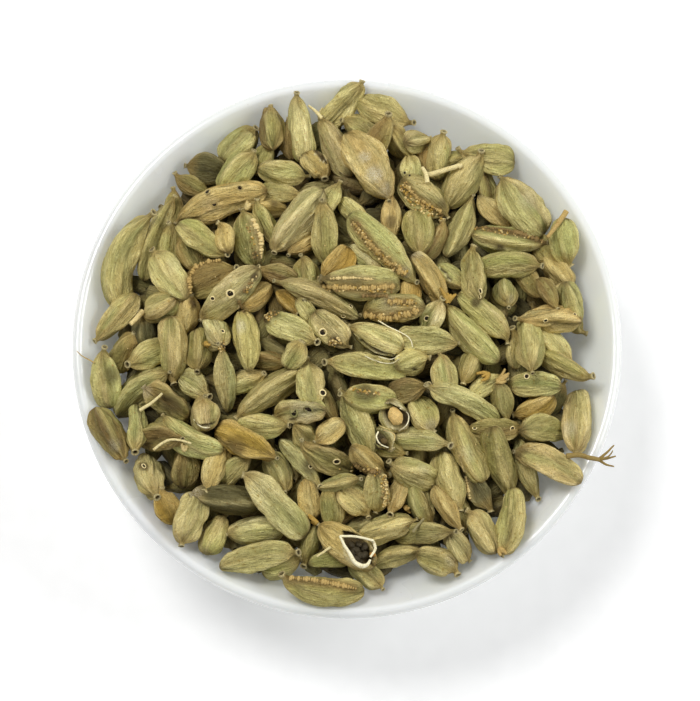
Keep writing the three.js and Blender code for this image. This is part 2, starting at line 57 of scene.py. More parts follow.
# %% Wires between nodes
class Wire:
    """One output socket of a node tree, with Python's own operators on it."""

    def __init__(self, tree, socket):
        self.tree = tree
        self.socket = socket

    @staticmethod
    def place(tree, kind, settings=None, values=None, out=0):
        """Adds any node: its type, then its settings, then values or wires for its inputs."""
        node = tree.nodes.new(kind)
        for name, value in (settings or {}).items():
            setattr(node, name, value)
        for name, value in (values or {}).items():
            Wire.feed(node, name, value)
        return Wire(tree, node.outputs[out])

    @staticmethod
    def feed(node, name, value):
        """Links a wire to an input of a node, or sets the input to a value."""
        socket = node.inputs[name]
        if isinstance(value, Wire):
            value.tree.links.new(value.socket, socket)
        elif socket.type in ("VECTOR", "RGBA") and isinstance(value, (int, float)):
            socket.default_value = (value,) * len(socket.default_value)
        else:
            socket.default_value = value

    def joined(self, operation, other, reflected=False):
        wide = isinstance(other, tuple) or any(
            isinstance(w, Wire) and w.socket.type in ("VECTOR", "RGBA") for w in (self, other))
        kind = "ShaderNodeVectorMath" if wide else "ShaderNodeMath"
        first, second = (other, self) if reflected else (self, other)
        return Wire.place(self.tree, kind, {"operation": operation}, {0: first, 1: second})

    def __add__(self, other):
        return self.joined("ADD", other)

    def __sub__(self, other):
        return self.joined("SUBTRACT", other)

    def __rsub__(self, other):
        return self.joined("SUBTRACT", other, reflected=True)

    def __mul__(self, other):
        return self.joined("MULTIPLY", other)

    __radd__ = __add__
    __rmul__ = __mul__

    def steps(self, low, high, low_value=0.0, high_value=1.0):
        """Runs smoothly from low_value to high_value as this wire runs from low to high."""
        return Wire.place(self.tree, "ShaderNodeMapRange", {"interpolation_type": "SMOOTHSTEP"},
                          {0: self, 1: low, 2: high, 3: low_value, 4: high_value})

    def blend(self, colour, share):
        """This colour where share is 0, the other one, of red, green and blue, where it is 1."""
        return Wire.place(self.tree, "ShaderNodeMix", {"data_type": "RGBA"},
                          {0: share, 6: self, 7: (*colour, 1)}, out=2)


def between(share, low, high):
    """A colour from low to high, as the wire share runs from 0 to 1."""
    return share * tuple(h - l for h, l in zip(high, low)) + low


def linear(red, green, blue):
    """A colour as a picture shows it, 0 to 255, as the light that a shader works in."""
    shares = [c / 255 for c in (red, green, blue)]
    return tuple(s / 12.92 if s <= 0.04045 else ((s + 0.055) / 1.055) ** 2.4 for s in shares)


print("a mid straw in linear light:", [round(c, 3) for c in linear(189, 169, 111)])

# %% [markdown]
# ## Trees that grow pieces
# Geometry Nodes will turn the dish, string beads along ridges and set seeds and stalks. Each tree
# gets named sizes. Its result is copied out as a plain mesh, and the object that carried the
# modifier is dropped, so nothing live is left on a finished piece.


# %% A tree with named sizes, and the piece it grows
def into_scene(name, data):
    """A new object for a mesh, a lamp or a camera, linked to the scene."""
    thing = bpy.data.objects.new(name, data)
    bpy.context.scene.collection.objects.link(thing)
    return thing


class Grower:
    """A Geometry Nodes tree with named inputs for its sizes."""

    def __init__(self, name, sizes):
        self.tree = bpy.data.node_groups.new(name, "GeometryNodeTree")
        face = self.tree.interface
        for way in ("INPUT", "OUTPUT"):
            face.new_socket("Shape", in_out=way, socket_type="NodeSocketGeometry")
        self.keys = {}
        for label, value in sizes.items():
            kind = "NodeSocketInt" if isinstance(value, int) else "NodeSocketFloat"
            socket = face.new_socket(label, in_out="INPUT", socket_type=kind)
            socket.default_value = value
            self.keys[label] = socket.identifier
        self.entry = self.tree.nodes.new("NodeGroupInput")
        self.exit = self.tree.nodes.new("NodeGroupOutput")
        self.shape = self.size("Shape")

    def size(self, label):
        return Wire(self.tree, self.entry.outputs[label])

    def node(self, kind, settings=None, values=None, out=0):
        return Wire.place(self.tree, kind, settings, values, out)

    def carried(self, name, kind="FLOAT"):
        """An attribute that the points of the source mesh carry."""
        return self.node("GeometryNodeInputNamedAttribute", {"data_type": kind}, {"Name": name})

    def finished(self, shape, finish):
        return self.node("GeometryNodeSetMaterial", None, {"Geometry": shape, "Material": finish})

    def circle(self, sides, radius):
        return self.node("GeometryNodeCurvePrimitiveCircle", None,
                         {"Resolution": sides, "Radius": radius})

    def end(self, shape, finish=None):
        shape = self.node("GeometryNodeRealizeInstances", None, {0: shape})
        Wire.feed(self.exit, "Shape", self.finished(shape, finish) if finish else shape)

    def grow(self, name, source, sizes=None):
        """Runs the tree on a source mesh and returns the result as a plain mesh object."""
        carrier = into_scene(name + "_source", source)
        modifier = carrier.modifiers.new("grow", "NODES")
        modifier.node_group = self.tree
        for label, value in (sizes or {}).items():
            modifier[self.keys[label]] = value
        graph = bpy.context.evaluated_depsgraph_get()
        mesh = bpy.data.meshes.new_from_object(carrier.evaluated_get(graph), depsgraph=graph)
        bpy.data.objects.remove(carrier)
        mesh.name = name
        print(name, "has", len(mesh.vertices), "points and", len(mesh.polygons), "faces")
        return into_scene(name, mesh)


def face_outwards(mesh, merge=None):
    """Turns all faces outwards, after points closer than merge are made one."""
    shape = bmesh.new()
    shape.from_mesh(mesh)
    if merge:
        bmesh.ops.remove_doubles(shape, verts=shape.verts, dist=merge)
    bmesh.ops.recalc_face_normals(shape, faces=shape.faces)
    shape.to_mesh(mesh)
    shape.free()


# %% [markdown]
# ## The glaze
# The dish is white under a clear glaze. Its colour hardly changes, so the life of the
# finish is in the gloss: the glaze pools a little, which shows as slow waves in a reflection, and
# it has faint specks. The waves are a Bump from slow noise, and the gloss is the shader's coat.


# %% White glaze
def new_finish(name):
    """A new material, its shader, and a wire with the place on the piece in metres."""
    finish = bpy.data.materials.new(name)
    finish.use_nodes = True
    places = Wire.place(finish.node_tree, "ShaderNodeTexCoord", out="Object")
    return finish, finish.node_tree.nodes["Principled BSDF"], places


def noise(vector, scale, detail=2.0, roughness=0.5):
    return Wire.place(vector.tree, "ShaderNodeTexNoise", None, {
        "Vector": vector, "Scale": scale, "Detail": detail, "Roughness": roughness})


def raised(height, distance, strength=1.0):
    """The facing of a surface that stands up by a height, distance being the most, in metres."""
    return Wire.place(height.tree, "ShaderNodeBump", None,
                      {"Strength": strength, "Distance": distance, "Height": height})


def dress(shader, values):
    """Gives sockets of a shader their numbers or wires."""
    for name, value in values.items():
        Wire.feed(shader, name, value)


GLAZE_WHITE = linear(236, 240, 234)
GLAZE_COOL = linear(231, 234, 235)
SPECK_TONE = linear(205, 203, 196)
glaze, shader, places = new_finish("white_glaze")
slow = noise(places, 45.0)
fine = noise(places, 900.0, 1.0)
white = between(slow.steps(0.35, 0.7), GLAZE_WHITE, GLAZE_COOL)
dress(shader, {
    "Base Color": white.blend(SPECK_TONE, fine.steps(0.78, 0.84) * 0.3),
    "Roughness": slow.steps(0.3, 0.7, 0.2, 0.3),
    "Coat Weight": 0.6, "Coat Roughness": 0.05, "IOR": 1.5,
    "Subsurface Weight": 0.7, "Subsurface Radius": (1.0, 0.95, 0.88), "Subsurface Scale": 0.006,
    "Normal": raised(slow, 0.0004, 0.25),
})
print("glaze nodes:", len(places.tree.nodes))

# %% [markdown]
# ## The dish
# The dish is thrown on a wheel, so its form is one curve turned round an axis: a shallow middle
# that sweeps up steeply to a rounded lip, the same wall outside, and a low foot ring. The curve
# is worked out from the sizes, and Curve to Mesh turns it by running it round a circle.
# The sizes are those of the CAD part, in millimetres.

# %% Bowl curve
RIM_RADIUS = 60
RIM_HEIGHT = 34
WALL = 2.6
FLOOR_HEIGHT = 5
FLOOR_THICKNESS = 3.2
FOOT_RADIUS = 28
FOOT_WIDTH = 3.4
FOOT_DRAFT = 0.8
BOWL_POWER = 2.7
lip_round = WALL / 2
lip_radius = RIM_RADIUS - lip_round
lip_height = RIM_HEIGHT - lip_round

# The round lip runs into the curve of the wall where both lean alike, which a few tries settle.
LEAN_TRIES = 12
lean = math.radians(45)
for _ in range(LEAN_TRIES):
    mouth_radius = lip_radius - lip_round * math.sin(lean)
    mouth_height = lip_height + lip_round * math.cos(lean)
    lean = math.atan(BOWL_POWER * (mouth_height - FLOOR_HEIGHT) / mouth_radius)
print("mouth: radius", round(mouth_radius, 2), "height", round(mouth_height, 2))


def inside_height(radius):
    share = radius / mouth_radius
    return FLOOR_HEIGHT + (mouth_height - FLOOR_HEIGHT) * share ** BOWL_POWER


def inside_lean(radius):
    rise = (mouth_height - FLOOR_HEIGHT) * BOWL_POWER / mouth_radius
    return math.atan(rise * (radius / mouth_radius) ** (BOWL_POWER - 1))


def beside_wall(radius, distance):
    lean_here = inside_lean(radius)
    return (radius - distance * math.sin(lean_here),
            inside_height(radius) + distance * math.cos(lean_here))


# %% Profile from the axis, round the foot and lip, and back to the axis
FOOT_FILLET = 1.2
FOOT_EDGE = 0.45
FLOOR_STEPS, OUTSIDE_STEPS, LIP_STEPS, INSIDE_STEPS = 10, 28, 14, 43
foot_inner = FOOT_RADIUS - FOOT_WIDTH
foot_outer = FOOT_RADIUS - FOOT_DRAFT
side_start = FOOT_RADIUS + FOOT_FILLET / 2
profile = []
for step in range(FLOOR_STEPS + 1):
    radius = (foot_inner - FOOT_FILLET) * step / FLOOR_STEPS
    profile.append((radius, inside_height(radius) - FLOOR_THICKNESS))
profile += [
    (foot_inner - 0.5, profile[-1][1] - 0.35), (foot_inner, FOOT_FILLET), (foot_inner + 0.1, FOOT_EDGE),
    (foot_inner + FOOT_EDGE, 0), (foot_outer - FOOT_EDGE, 0), (foot_outer, FOOT_EDGE),
    (foot_outer + 0.3, 1.6),
]
for step in range(OUTSIDE_STEPS + 1):
    radius = side_start + (mouth_radius - side_start) * step / OUTSIDE_STEPS
    profile.append(beside_wall(radius, -WALL))
for step in range(1, LIP_STEPS):
    turn = lean - math.pi / 2 + math.pi * step / LIP_STEPS
    profile.append((lip_radius + lip_round * math.cos(turn), lip_height + lip_round * math.sin(turn)))
for step in range(INSIDE_STEPS + 1):
    radius = mouth_radius * (1 - step / INSIDE_STEPS)
    profile.append((radius, inside_height(radius)))
print("profile points:", len(profile))

# %% Turning the dish
PATH_RADIUS = 30 * MM
turner = Grower("turned_on_a_wheel", {"Sides": 192, "Path Radius": PATH_RADIUS, "Merge": 0.00002})
drawn = turner.node("GeometryNodeMeshToCurve", None, {"Mesh": turner.shape})
circle = turner.circle(turner.size("Sides"), turner.size("Path Radius"))
turned = turner.node("GeometryNodeCurveToMesh", None, {0: circle, "Profile Curve": drawn})
merged = turner.node("GeometryNodeMergeByDistance", None,
                     {"Geometry": turned, "Distance": turner.size("Merge")})
turner.end(turner.node("GeometryNodeSetShadeSmooth", None, {0: merged}), glaze)

outline = bpy.data.meshes.new("dish_outline")
outline.from_pydata([(r * MM - PATH_RADIUS, -z * MM, 0) for r, z in profile],
                    [(i, i + 1) for i in range(len(profile) - 1)], [])
dish = turner.grow("dish_glazed", outline)
face_outwards(dish.data, merge=0.00001)
heights = [v.co.z for v in dish.data.vertices]
print("dish stands from", round(min(heights) / MM, 2), "to", round(max(heights) / MM, 2), "mm")

# %% [markdown]
# ## Where the pods lie
# No two pods of a heap lie alike, so the ones that show are written down one by one, as seen
# from above: middle x and y, the heading of the stem in degrees from +X, length, width, bend of
# the middle to the left, the kind of pod and its colour.
# The first list is the lowest, the last the uppermost. How high each lies is not written down.
# A resting rule works it out further on.

# %% The pods that show
LOW_PODS = [
    (3.7, 47.0, 150, 11, 6.4, 0, "slim", "olive"),
    (-13.0, 45.0, 95, 10, 5.4, 0, "slim", "brown"),
    (-18.6, 41.0, 60, 9, 5.6, 0, "slim", "olive"),
    (-37.8, 29.8, 97, 10.5, 5, 0, "slim", "brown"),
    (-14.4, 32.4, -15, 10, 4.6, 0, "slim", "olive"),
    (-18, 29.4, 170, 10, 4.6, 0, "slim", "tan"),
    (30.8, 34.6, 100, 9, 5.2, 0, "slim", "brown"),
    (7.2, 45.4, 60, 9, 5.4, 0, "slim", "brown"),
    (24.6, 40.6, 20, 9, 5.2, 0, "slim", "olive"),
    (-34.6, 35.4, 150, 9.4, 4.4, 0, "slim", "brown"),
    (-41.8, 23.6, 69, 19.6, 5.6, 0.6, "plump", "olive"),
    (-39, 21.2, 83, 10, 5.2, 0, "plump", "green"),
    (-34.2, 19.5, 115, 9.5, 7, 0, "plump", "brown"),
    (-44.5, 3, 100, 8.5, 6, 0, "plump", "dark"),
    (-35, 5.8, 78, 8.8, 6.2, 0, "plump", "tan"),
    (-48.7, -1.6, 60, 9, 5.6, 0, "plump", "brown"),
    (-17.8, 25.5, 118, 11, 4.6, 0, "slim", "green"),
    (-9.5, 20.5, 215, 9, 4.6, 0, "wrinkled", "tan"),
    (-15, 13.6, 165, 9.5, 4.8, 0, "slim", "brown"),
    (-20.2, 8.9, 215, 9, 5.2, 0, "plump", "tan"),
    (-12.7, 7.3, -50, 8, 3.8, 0, "slim", "orange"),
    (-8.3, 4.6, -50, 8, 4, 0, "slim", "green"),
    (4.2, 16.8, -40, 9.5, 5.2, 0, "plump", "pale"),
    (13.6, 9.6, 95, 9.5, 4.6, 0, "slim", "orange"),
    (9.8, 26.8, 90, 11, 5.2, 0, "slim", "tan"),
    (19.4, 21.5, 62, 10, 4.4, 0, "slim", "brown"),
    (22.8, 13.4, -40, 8.5, 4.6, 0, "slim", "green"),
    (-22.3, -9.6, 12, 9.5, 5.2, 0, "plump", "green"),
    (-17.5, -5.2, -10, 10, 4.6, 0, "slim", "brown"),
    (-3.8, -15.6, -65, 9, 4.2, 0, "slim", "brown"),
    (-8, -45.2, -105, 9.5, 4.4, 0, "slim", "olive"),
    (-14.2, -48.8, 15, 9, 6.4, 0, "plump", "green"),
    (-3.2, -48.2, 8, 10.5, 4.4, 0, "slim", "green"),
    (26.3, -6.6, 250, 8, 5, 0, "plump", "olive"),
    (40.2, 13.2, -58, 10, 5.2, 0, "plump", "brown"),
    (43.8, 10.8, -60, 8.5, 4.6, 0, "slim", "brown"),
    (45.6, -12, 60, 9, 4.6, 0, "slim", "dark"),
    (30.6, -10.3, 30, 9, 4.8, 0, "plump", "pale"),
    (28.7, -33.4, -55, 9.5, 5.2, 0, "wrinkled", "dark"),
    (24.6, -38, -78, 9, 4.4, 0, "slim", "olive"),
    (-23.8, -28.5, 40, 9, 5, 0, "plump", "green"),
    (-37.5, -18, 20, 9, 5, 0, "plump", "olive"),
    (-3.8, 30.5, 60, 10, 5, 0, "slim", "green"),
    (1.5, 27.5, -50, 9, 4.6, 0, "slim", "pale"),
    (32.6, 28.4, -42, 10.5, 4.8, 0, "slim", "tan"),
    (33.8, -14, -75, 8.5, 5, 0, "slim", "olive"),
    (36.6, -1.8, 92, 9, 4.4, 0, "slim", "olive"),
    (8.8, -24.4, -20, 9, 4.6, 0, "slim", "olive"),
]
MIDDLE_PODS = [
    (-31.2, 38.6, 168, 9.8, 7, 0, "plump", "dark"),
    (-24, 44.2, 48, 11, 7, 0, "plump", "green"),
    (-24, 37.8, 48, 11.5, 7, 0, "plump", "green"),
    (-16.5, 47.8, 92, 11, 6, 0, "wrinkled", "brown"),
    (-0.8, 53.2, 42, 12.5, 5.6, 0, "wrinkled", "straw"),
    (-10.3, 47.4, 98, 14.8, 5.8, 0, "plump", "pale"),
    (8.6, 51.2, -28, 13.8, 7, 0, "plump", "straw"),
    (-2.6, 43, 116, 15.5, 6.2, 0, "plump", "straw"),
    (-13.9, 36.9, -8, 11.8, 6, 0, "plump", "green"),
    (11.6, 44.6, 130, 7.5, 5, 0, "wrinkled", "brown"),
    (15.7, 44.6, 20, 6.4, 5.2, 0, "squat", "straw"),
    (20.6, 41.2, 84, 10.2, 5.8, 0.6, "plump", "straw"),
    (30.6, 41.2, 172, 13, 7.2, 0, "squat", "green"),
    (26, 35.8, 56, 14.4, 7, 0, "plump", "olive"),
    (14, 38.2, 95, 6.8, 5.8, 0, "squat", "pale"),
    (-47.7, 19.5, 68, 21, 7.2, 2.2, "plump", "straw"),
    (-31.6, 22, -36, 13.5, 6.2, 0, "plump", "green"),
    (-29.3, 13.3, 20, 11.5, 7, 0, "beaded", "brown"),
    (-50.6, 6, 231, 14.2, 6.2, 0, "plump", "straw"),
    (-26.7, 22.4, 103, 7.6, 4.8, 0, "plump", "tan"),
    (-21.5, 22.4, 103, 13.2, 7, 0, "beaded", "green"),
    (-4.8, 22.6, 95, 13.8, 5.8, 0, "plump", "olive"),
    (-8.6, 13.9, 108, 8, 5.8, 0, "squat", "green"),
    (-2.6, 15.6, 232, 10, 5.6, 0, "squat", "orange"),
    (15.5, 22.8, -86, 11.5, 7, 0, "plump", "olive"),
    (18, 12, -60, 13.5, 5.6, 0.4, "wrinkled", "tan"),
    (30, 4.8, -43, 15.5, 6, 0, "plump", "green"),
    (18.9, 4.9, 62, 7.4, 5.2, 0, "squat", "pale"),
    (17.4, -1.2, -4, 14, 6, 0, "plump", "green"),
    (35.2, 16.4, 2, 15, 6.2, 0, "plump", "olive"),
    (34.8, 10.2, -80, 7, 5.6, 0, "squat", "green"),
    (46.6, 15.8, -55, 10.5, 6.6, 0, "plump", "tan"),
    (49.4, 7.8, -68, 11.5, 7, -0.6, "wrinkled", "green"),
    (45.4, -0.6, -45, 11.5, 5.6, 0, "plump", "pale"),
    (47.2, -4.8, -30, 13.5, 5, 0, "slim", "olive"),
    (39.4, -1.2, -88, 13.5, 6.6, 0, "plump", "green"),
    (-52.4, -7, 97, 12.8, 6.4, 0, "plump", "green"),
    (-43.6, -3, 212, 9.4, 6.4, 0, "plump", "green"),
    (-37.9, -2.2, -89, 14.5, 6.6, 0, "plump", "straw"),
    (-32.3, -2.6, -88, 10, 6.4, 0, "plump", "olive"),
    (-44.6, -10.6, 34, 14.6, 7.2, 1.2, "plump", "green"),
    (-40.5, -21.2, -6, 11, 6.2, 0, "wrinkled", "brown"),
    (-32.9, -10.4, -40, 8.4, 5.4, 0, "squat", "pale"),
    (-26.4, -8.8, 95, 13.4, 4.8, 0, "slim", "green"),
    (-35.2, -27.6, 91, 8.6, 5.8, 0, "squat", "brown"),
    (-28.4, -28.4, -108, 11.5, 6, 0, "plump", "tan"),
    (-38.8, -35.6, 118, 8.4, 6.2, 0, "squat", "orange"),
    (-26.1, -34.3, 175, 15.8, 6.8, 0, "plump", "dark"),
    (-28.5, -42, 65, 9.8, 6.2, 0, "plump", "green"),
    (-7.8, -10.2, 98, 11.5, 6, 0, "plump", "straw"),
    (-8.6, -22, 135, 8.5, 5.8, 0, "wrinkled", "olive"),
    (-15, -29.4, -62, 9.8, 6.2, 0, "plump", "green"),
    (-8.2, -34.9, 97, 9, 5.4, 0, "squat", "tan"),
    (-3.4, -36.6, 97, 9, 5.4, 0.4, "plump", "olive"),
    (1.6, -35.8, -38, 9, 6.2, 0, "squat", "straw"),
    (-1.6, -31.6, 10, 9.5, 3.9, 0, "slim", "green"),
    (-19.9, -41.7, 186, 13, 6.6, 0, "plump", "pale"),
    (21, -7.8, 100, 9.6, 6, 0, "plump", "green"),
    (16.6, -17.2, -60, 9, 6.4, 0, "plump", "green"),
    (15.9, -22.7, -8, 13, 5.2, 0.5, "plump", "pale"),
    (2.2, -18.6, 115, 16, 6.6, 0, "plump", "green"),
    (10.8, -34.6, -112, 9, 4.8, 0, "slim", "tan"),
    (22.4, -31.2, -72, 13.6, 6.8, 0, "plump", "straw"),
    (16.2, -36.2, -68, 10.5, 6.2, 0, "plump", "olive"),
    (16.8, -42.4, 2, 13, 5, 0, "slim", "olive"),
    (10.8, -47.4, 15, 12, 4.6, 0.8, "slim", "olive"),
    (4.4, -51.2, -40, 9.5, 5.2, 0, "plump", "green"),
    (24.3, -44.9, -50, 7.4, 5, 0, "wrinkled", "straw"),
    (21.6, -36.6, -60, 11.5, 4.6, 0, "slim", "tan"),
    (32.4, -19.6, 4, 12.6, 5.4, 0, "wrinkled", "brown"),
    (40.6, -14.2, 205, 9.8, 6, 0.6, "squat", "orange"),
    (43.4, -19.2, 5, 11.6, 6.4, 0, "plump", "olive"),
    (39.2, -27.8, -72, 14, 4.6, 0, "slim", "green"),
    (33.4, -27, -72, 15.5, 6.6, 0, "plump", "olive"),
    (13.4, -11.6, 5, 8.5, 6.4, 0, "wrinkled", "brown"),
]
UPPER_PODS = [
    (-28, 30.2, 195, 21.2, 7.4, -0.8, "plump", "tan"),
    (-6.9, 38.6, -50, 7.4, 5.8, 0, "squat", "tan"),
    (4.9, 38.2, -60, 19, 9.2, 0, "plump", "tan"),
    (17.2, 31, -36, 13.4, 7.2, 0, "beaded", "olive"),
    (38.4, 30.7, 126, 16, 9.6, 0, "squat", "straw"),
    (-38.9, 14.8, 122, 14.2, 7.4, 0, "slim", "pale"),
    (-41, 7.6, 207, 8.6, 7, 0, "squat", "straw"),
    (-25.6, 9.4, 217, 16.5, 7, 0, "plump", "straw"),
    (-28.2, 0.6, -70, 7.6, 6.4, 0, "squat", "pale"),
    (-10.7, 25.6, 231, 17.6, 7.8, 0, "plump", "pale"),
    (-6.4, 8.5, 158, 20, 5.4, 0, "slim", "straw"),
    (-21.9, -0.6, 98, 15, 6, 0, "plump", "straw"),
    (-12.1, 1.2, -28, 13.2, 5.8, 0, "plump", "pale"),
    (-3.2, 0.8, -45, 11, 6.2, 0, "plump", "straw"),
    (7.8, 19.2, -47, 21.5, 7, 0, "beaded", "green"),
    (24.9, 25, 67, 15.5, 5.4, -1.1, "slim", "green"),
    (27.7, 14.4, 97, 13, 5.8, 0.4, "wrinkled", "olive"),
    (2.8, 11.6, 178, 17.5, 7.6, 0, "beaded", "green"),
    (9.8, 5.6, 182, 14, 6, 0, "beaded", "green"),
    (26.8, 1, 131, 17.5, 6.6, 0, "plump", "green"),
    (6.2, -0.4, 155, 13, 6.6, 0, "open", "pale"),
    (35.8, 22.7, -7, 17, 6.4, -0.8, "beaded", "green"),
    (47.9, 22.9, -83, 10.8, 6.6, 0, "plump", "green"),
    (43.8, 5.2, 180, 14.8, 5.8, 0, "wrinkled", "tan"),
    (-39.3, -13.3, 148, 12, 6.2, 0, "wrinkled", "brown"),
    (-45.6, -18.6, -91, 11, 4.8, 0, "wrinkled", "green"),
    (-51.2, -19.4, -60, 14.2, 6.6, 0, "wrinkled", "brown"),
    (-33.8, -20.9, 148, 15.5, 6, 0, "plump", "green"),
    (-30.6, -16.2, 95, 7.6, 6.6, 0, "open", "straw"),
    (-42.4, -29.2, -76, 10.4, 6.6, 0, "wrinkled", "straw"),
    (-33.6, -38.6, -112, 12, 7, 0, "plump", "straw"),
    (-17, -12.5, 215, 17.8, 6.2, 0, "plump", "olive"),
    (-11.3, -4.2, 60, 6.8, 5.6, 0, "squat", "green"),
    (-10.2, -16.6, 178, 11.5, 5.2, 0, "wrinkled", "straw"),
    (-18, -19.4, -4, 11.5, 5.8, 0, "plump", "green"),
    (-21.6, -23.2, -28, 15.5, 6.4, 0, "wrinkled", "orange"),
    (-3.9, -20.9, 218, 8, 5.2, 0, "squat", "tan"),
    (-4.6, -26.6, 155, 12.5, 5.4, 0, "wrinkled", "brown"),
    (-10, -27.4, -50, 14, 4.4, 0, "slim", "pale"),
    (-15.6, -36.2, 134, 18.6, 7.4, 0, "plump", "pale"),
    (-18.9, -47.4, 10, 17.4, 6.6, 0, "plump", "green"),
    (-5.4, -53.6, 172, 18, 6.4, 0, "beaded", "olive"),
    (-0.2, -44.9, 143, 15.4, 7.6, 0, "open", "tan"),
    (4, -7, 172, 18, 5.8, 0, "plump", "green"),
    (14.2, -5.5, 20, 8, 6.2, 0, "squat", "pale"),
    (4.6, -13.6, 176, 12.5, 6.6, 0, "open", "green"),
    (25, -14, 160, 17.4, 5.6, -1.2, "plump", "pale"),
    (10.6, -17.8, -60, 7.6, 6.2, 0, "open", "straw"),
    (8, -22.4, -50, 6, 4.6, 0, "open", "green"),
    (25.8, -23.6, 114, 16.8, 6.8, 0.2, "plump", "straw"),
    (13.9, -29.4, 165, 10.8, 7.2, 0, "plump", "straw"),
    (4.8, -27.4, -35, 9.5, 5, 0, "beaded", "tan"),
    (40.2, -9.8, 178, 12.5, 5.8, 0, "plump", "green"),
    (49.8, -17, -93, 15.2, 6.4, 0, "plump", "straw"),
    (43.4, -26.4, 154, 16.2, 6.8, 0.4, "plump", "straw"),
    (6.2, -33.6, -87, 8.6, 5.6, 0, "beaded", "straw"),
    (9, -41.2, 14, 13, 6.6, 0, "plump", "pale"),
    (19.6, -48.2, -20, 10, 6.2, 0, "plump", "olive"),
    (29.2, -41.2, 122, 11.4, 6.4, 0, "plump", "straw"),
    (35, -39.2, -100, 15.4, 6, 0.8, "plump", "green"),
]

# Two more fill gaps at the edge and are laid on the bare wall.
EDGE_PODS = [
    (17.6, 41.8, 95, 8, 5, 0, "slim", "tan"),
    (43.5, 20.5, -60, 9, 5, 0, "slim", "brown"),
]
print("pods that show:", len(LOW_PODS) + len(MIDDLE_PODS) + len(UPPER_PODS) + len(EDGE_PODS))

# %% [markdown]
# ## The resting rule
# A pod can't float and can't sink into another. Each is laid down in turn, from the lowest list
# to the uppermost: it drops until a few round stations along it meet the bed of the heap, the
# wall of the dish or a pod that already lies there, and it leans between the two stations that
# hold it. A physics run would do that too, but every pod would roll away from its place.

# %% Sizes of the rule
HEAP_TOP = 43
HEAP_FALL = 10
HEAP_REACH = 55
POD_BED = 5.6
NEST = 0.74
WALL_GAP = 0.4
WALL_LOOKS = 8
MOST_LIFT = 2.6
STEEPEST = math.tan(math.radians(46))
TOUCH_STATIONS = [(-0.36, 0.66), (-0.18, 0.94), (0, 1), (0.18, 0.86), (0.36, 0.52)]
END_STATIONS = [(-0.48, 0.3), (0.48, 0.35)]


def heap_surface(x, y):
    return HEAP_TOP - HEAP_FALL * (math.hypot(x, y) / HEAP_REACH) ** 2


def height_on_wall(x, y, radius):
    """Least height of a ball of this radius here that keeps clear of the wall of the dish."""
    out = math.hypot(x, y)
    reach = radius + WALL_GAP
    highest = -math.inf
    for step in range(-WALL_LOOKS, WALL_LOOKS + 1):
        aside = reach * step / WALL_LOOKS
        there = abs(out + aside)
        if there <= mouth_radius:
            above = math.sqrt(reach * reach - aside * aside)
            highest = max(highest, inside_height(there) + above)
    return highest


print("heap in mm: middle", heap_surface(0, 0), "and edge", round(heap_surface(HEAP_REACH, 0), 1))

# %% One pod and how it settles
class Pod:
    """One row of the lists, and the height and slope that the resting rule gives it."""

    def __init__(self, row, level):
        self.x, self.y, heading, self.length, self.width, self.bend, self.kind, self.tone = row
        self.level = level
        self.radius = self.width / 2
        self.ahead = (math.cos(math.radians(heading)), math.sin(math.radians(heading)))
        self.height = 0.0
        self.slope = 0.0
        # Share of the colour left after painted shade; below 1 for pods deep in the heap.
        self.shade = 1.0

    def middle(self, share):
        """A point of the middle line; share runs from -0.5 at the beak to 0.5 at the stem."""
        along = share * self.length
        aside = self.bend * (0.5 - 4 * share * share)
        return (self.x + along * self.ahead[0] - aside * self.ahead[1],
                self.y + along * self.ahead[1] + aside * self.ahead[0],
                self.height + self.slope * along)

    def support(self, share, fullness, balls):
        """How far along a station is, its least height on the wall, and where it comes to rest."""
        x, y, _ = self.middle(share)
        radius = self.radius * fullness
        height = heap_surface(x, y) - POD_BED + radius * NEST
        for ball_x, ball_y, ball_z, ball_radius in balls:
            reach = (radius + ball_radius) * NEST
            aside = (x - ball_x) ** 2 + (y - ball_y) ** 2
            if aside < reach * reach:
                height = max(height, ball_z + math.sqrt(reach * reach - aside))
        wall = height_on_wall(x, y, radius)
        most = heap_surface(x, y) + MOST_LIFT - radius
        return share * self.length, wall, max(wall, min(height, most))

    def settle(self, balls):
        """Lays the pod on the two stations that hold it highest, one on each side of its middle."""
        held = [self.support(share, full, balls) for share, full in TOUCH_STATIONS]
        held += [self.support(share, full, []) for share, full in END_STATIONS]
        height = -math.inf
        for near in [h for h in held if h[0] <= 0]:
            for far in [h for h in held if h[0] >= 0]:
                span = far[0] - near[0]
                climb = (far[2] - near[2]) / span if span else 0.0
                if near[2] - climb * near[0] > height:
                    height = near[2] - climb * near[0]
                    self.slope = climb
        self.slope = max(-STEEPEST, min(STEEPEST, self.slope))
        self.height = max([height] + [wall - self.slope * along for along, wall, _ in held])


# %% [markdown]
# The rows were noted as if every pod lay on one smooth dome. The eye looks down a little aslant,
# so a pod that lies lower than the dome is really further off, and its y is put right by as much.

# %% Laying the pods down
READ_TOP = 43
READ_FALL = 14
CAMERA_RISE_DEG = 79
VIEW_LEAN = math.tan(math.radians(90 - CAMERA_RISE_DEG))


def read_sag(y):
    """What the reading of y is short of towards the far and the near side of the dish, in mm."""
    return 0.00047 * y * y + 0.0055 * y


def read_dome(x, y):
    return READ_TOP - READ_FALL * (math.hypot(x, y) / HEAP_REACH) ** 2


pods = []
balls = []
for level, rows in enumerate((LOW_PODS, MIDDLE_PODS, UPPER_PODS)):
    for row in rows:
        pod = Pod(row, level)
        pod.settle(balls)
        balls += [(*pod.middle(share), pod.radius * fullness) for share, fullness in TOUCH_STATIONS]
        pods.append(pod)
for row in EDGE_PODS:
    pod = Pod(row, 0)
    pod.settle([])
    pods.append(pod)
for pod in pods:
    pod.y += (read_dome(pod.x, pod.y) - pod.height) * VIEW_LEAN + read_sag(pod.y)
print("laid", len(pods), "pods, highest middle", round(max(p.height for p in pods), 1), "mm")
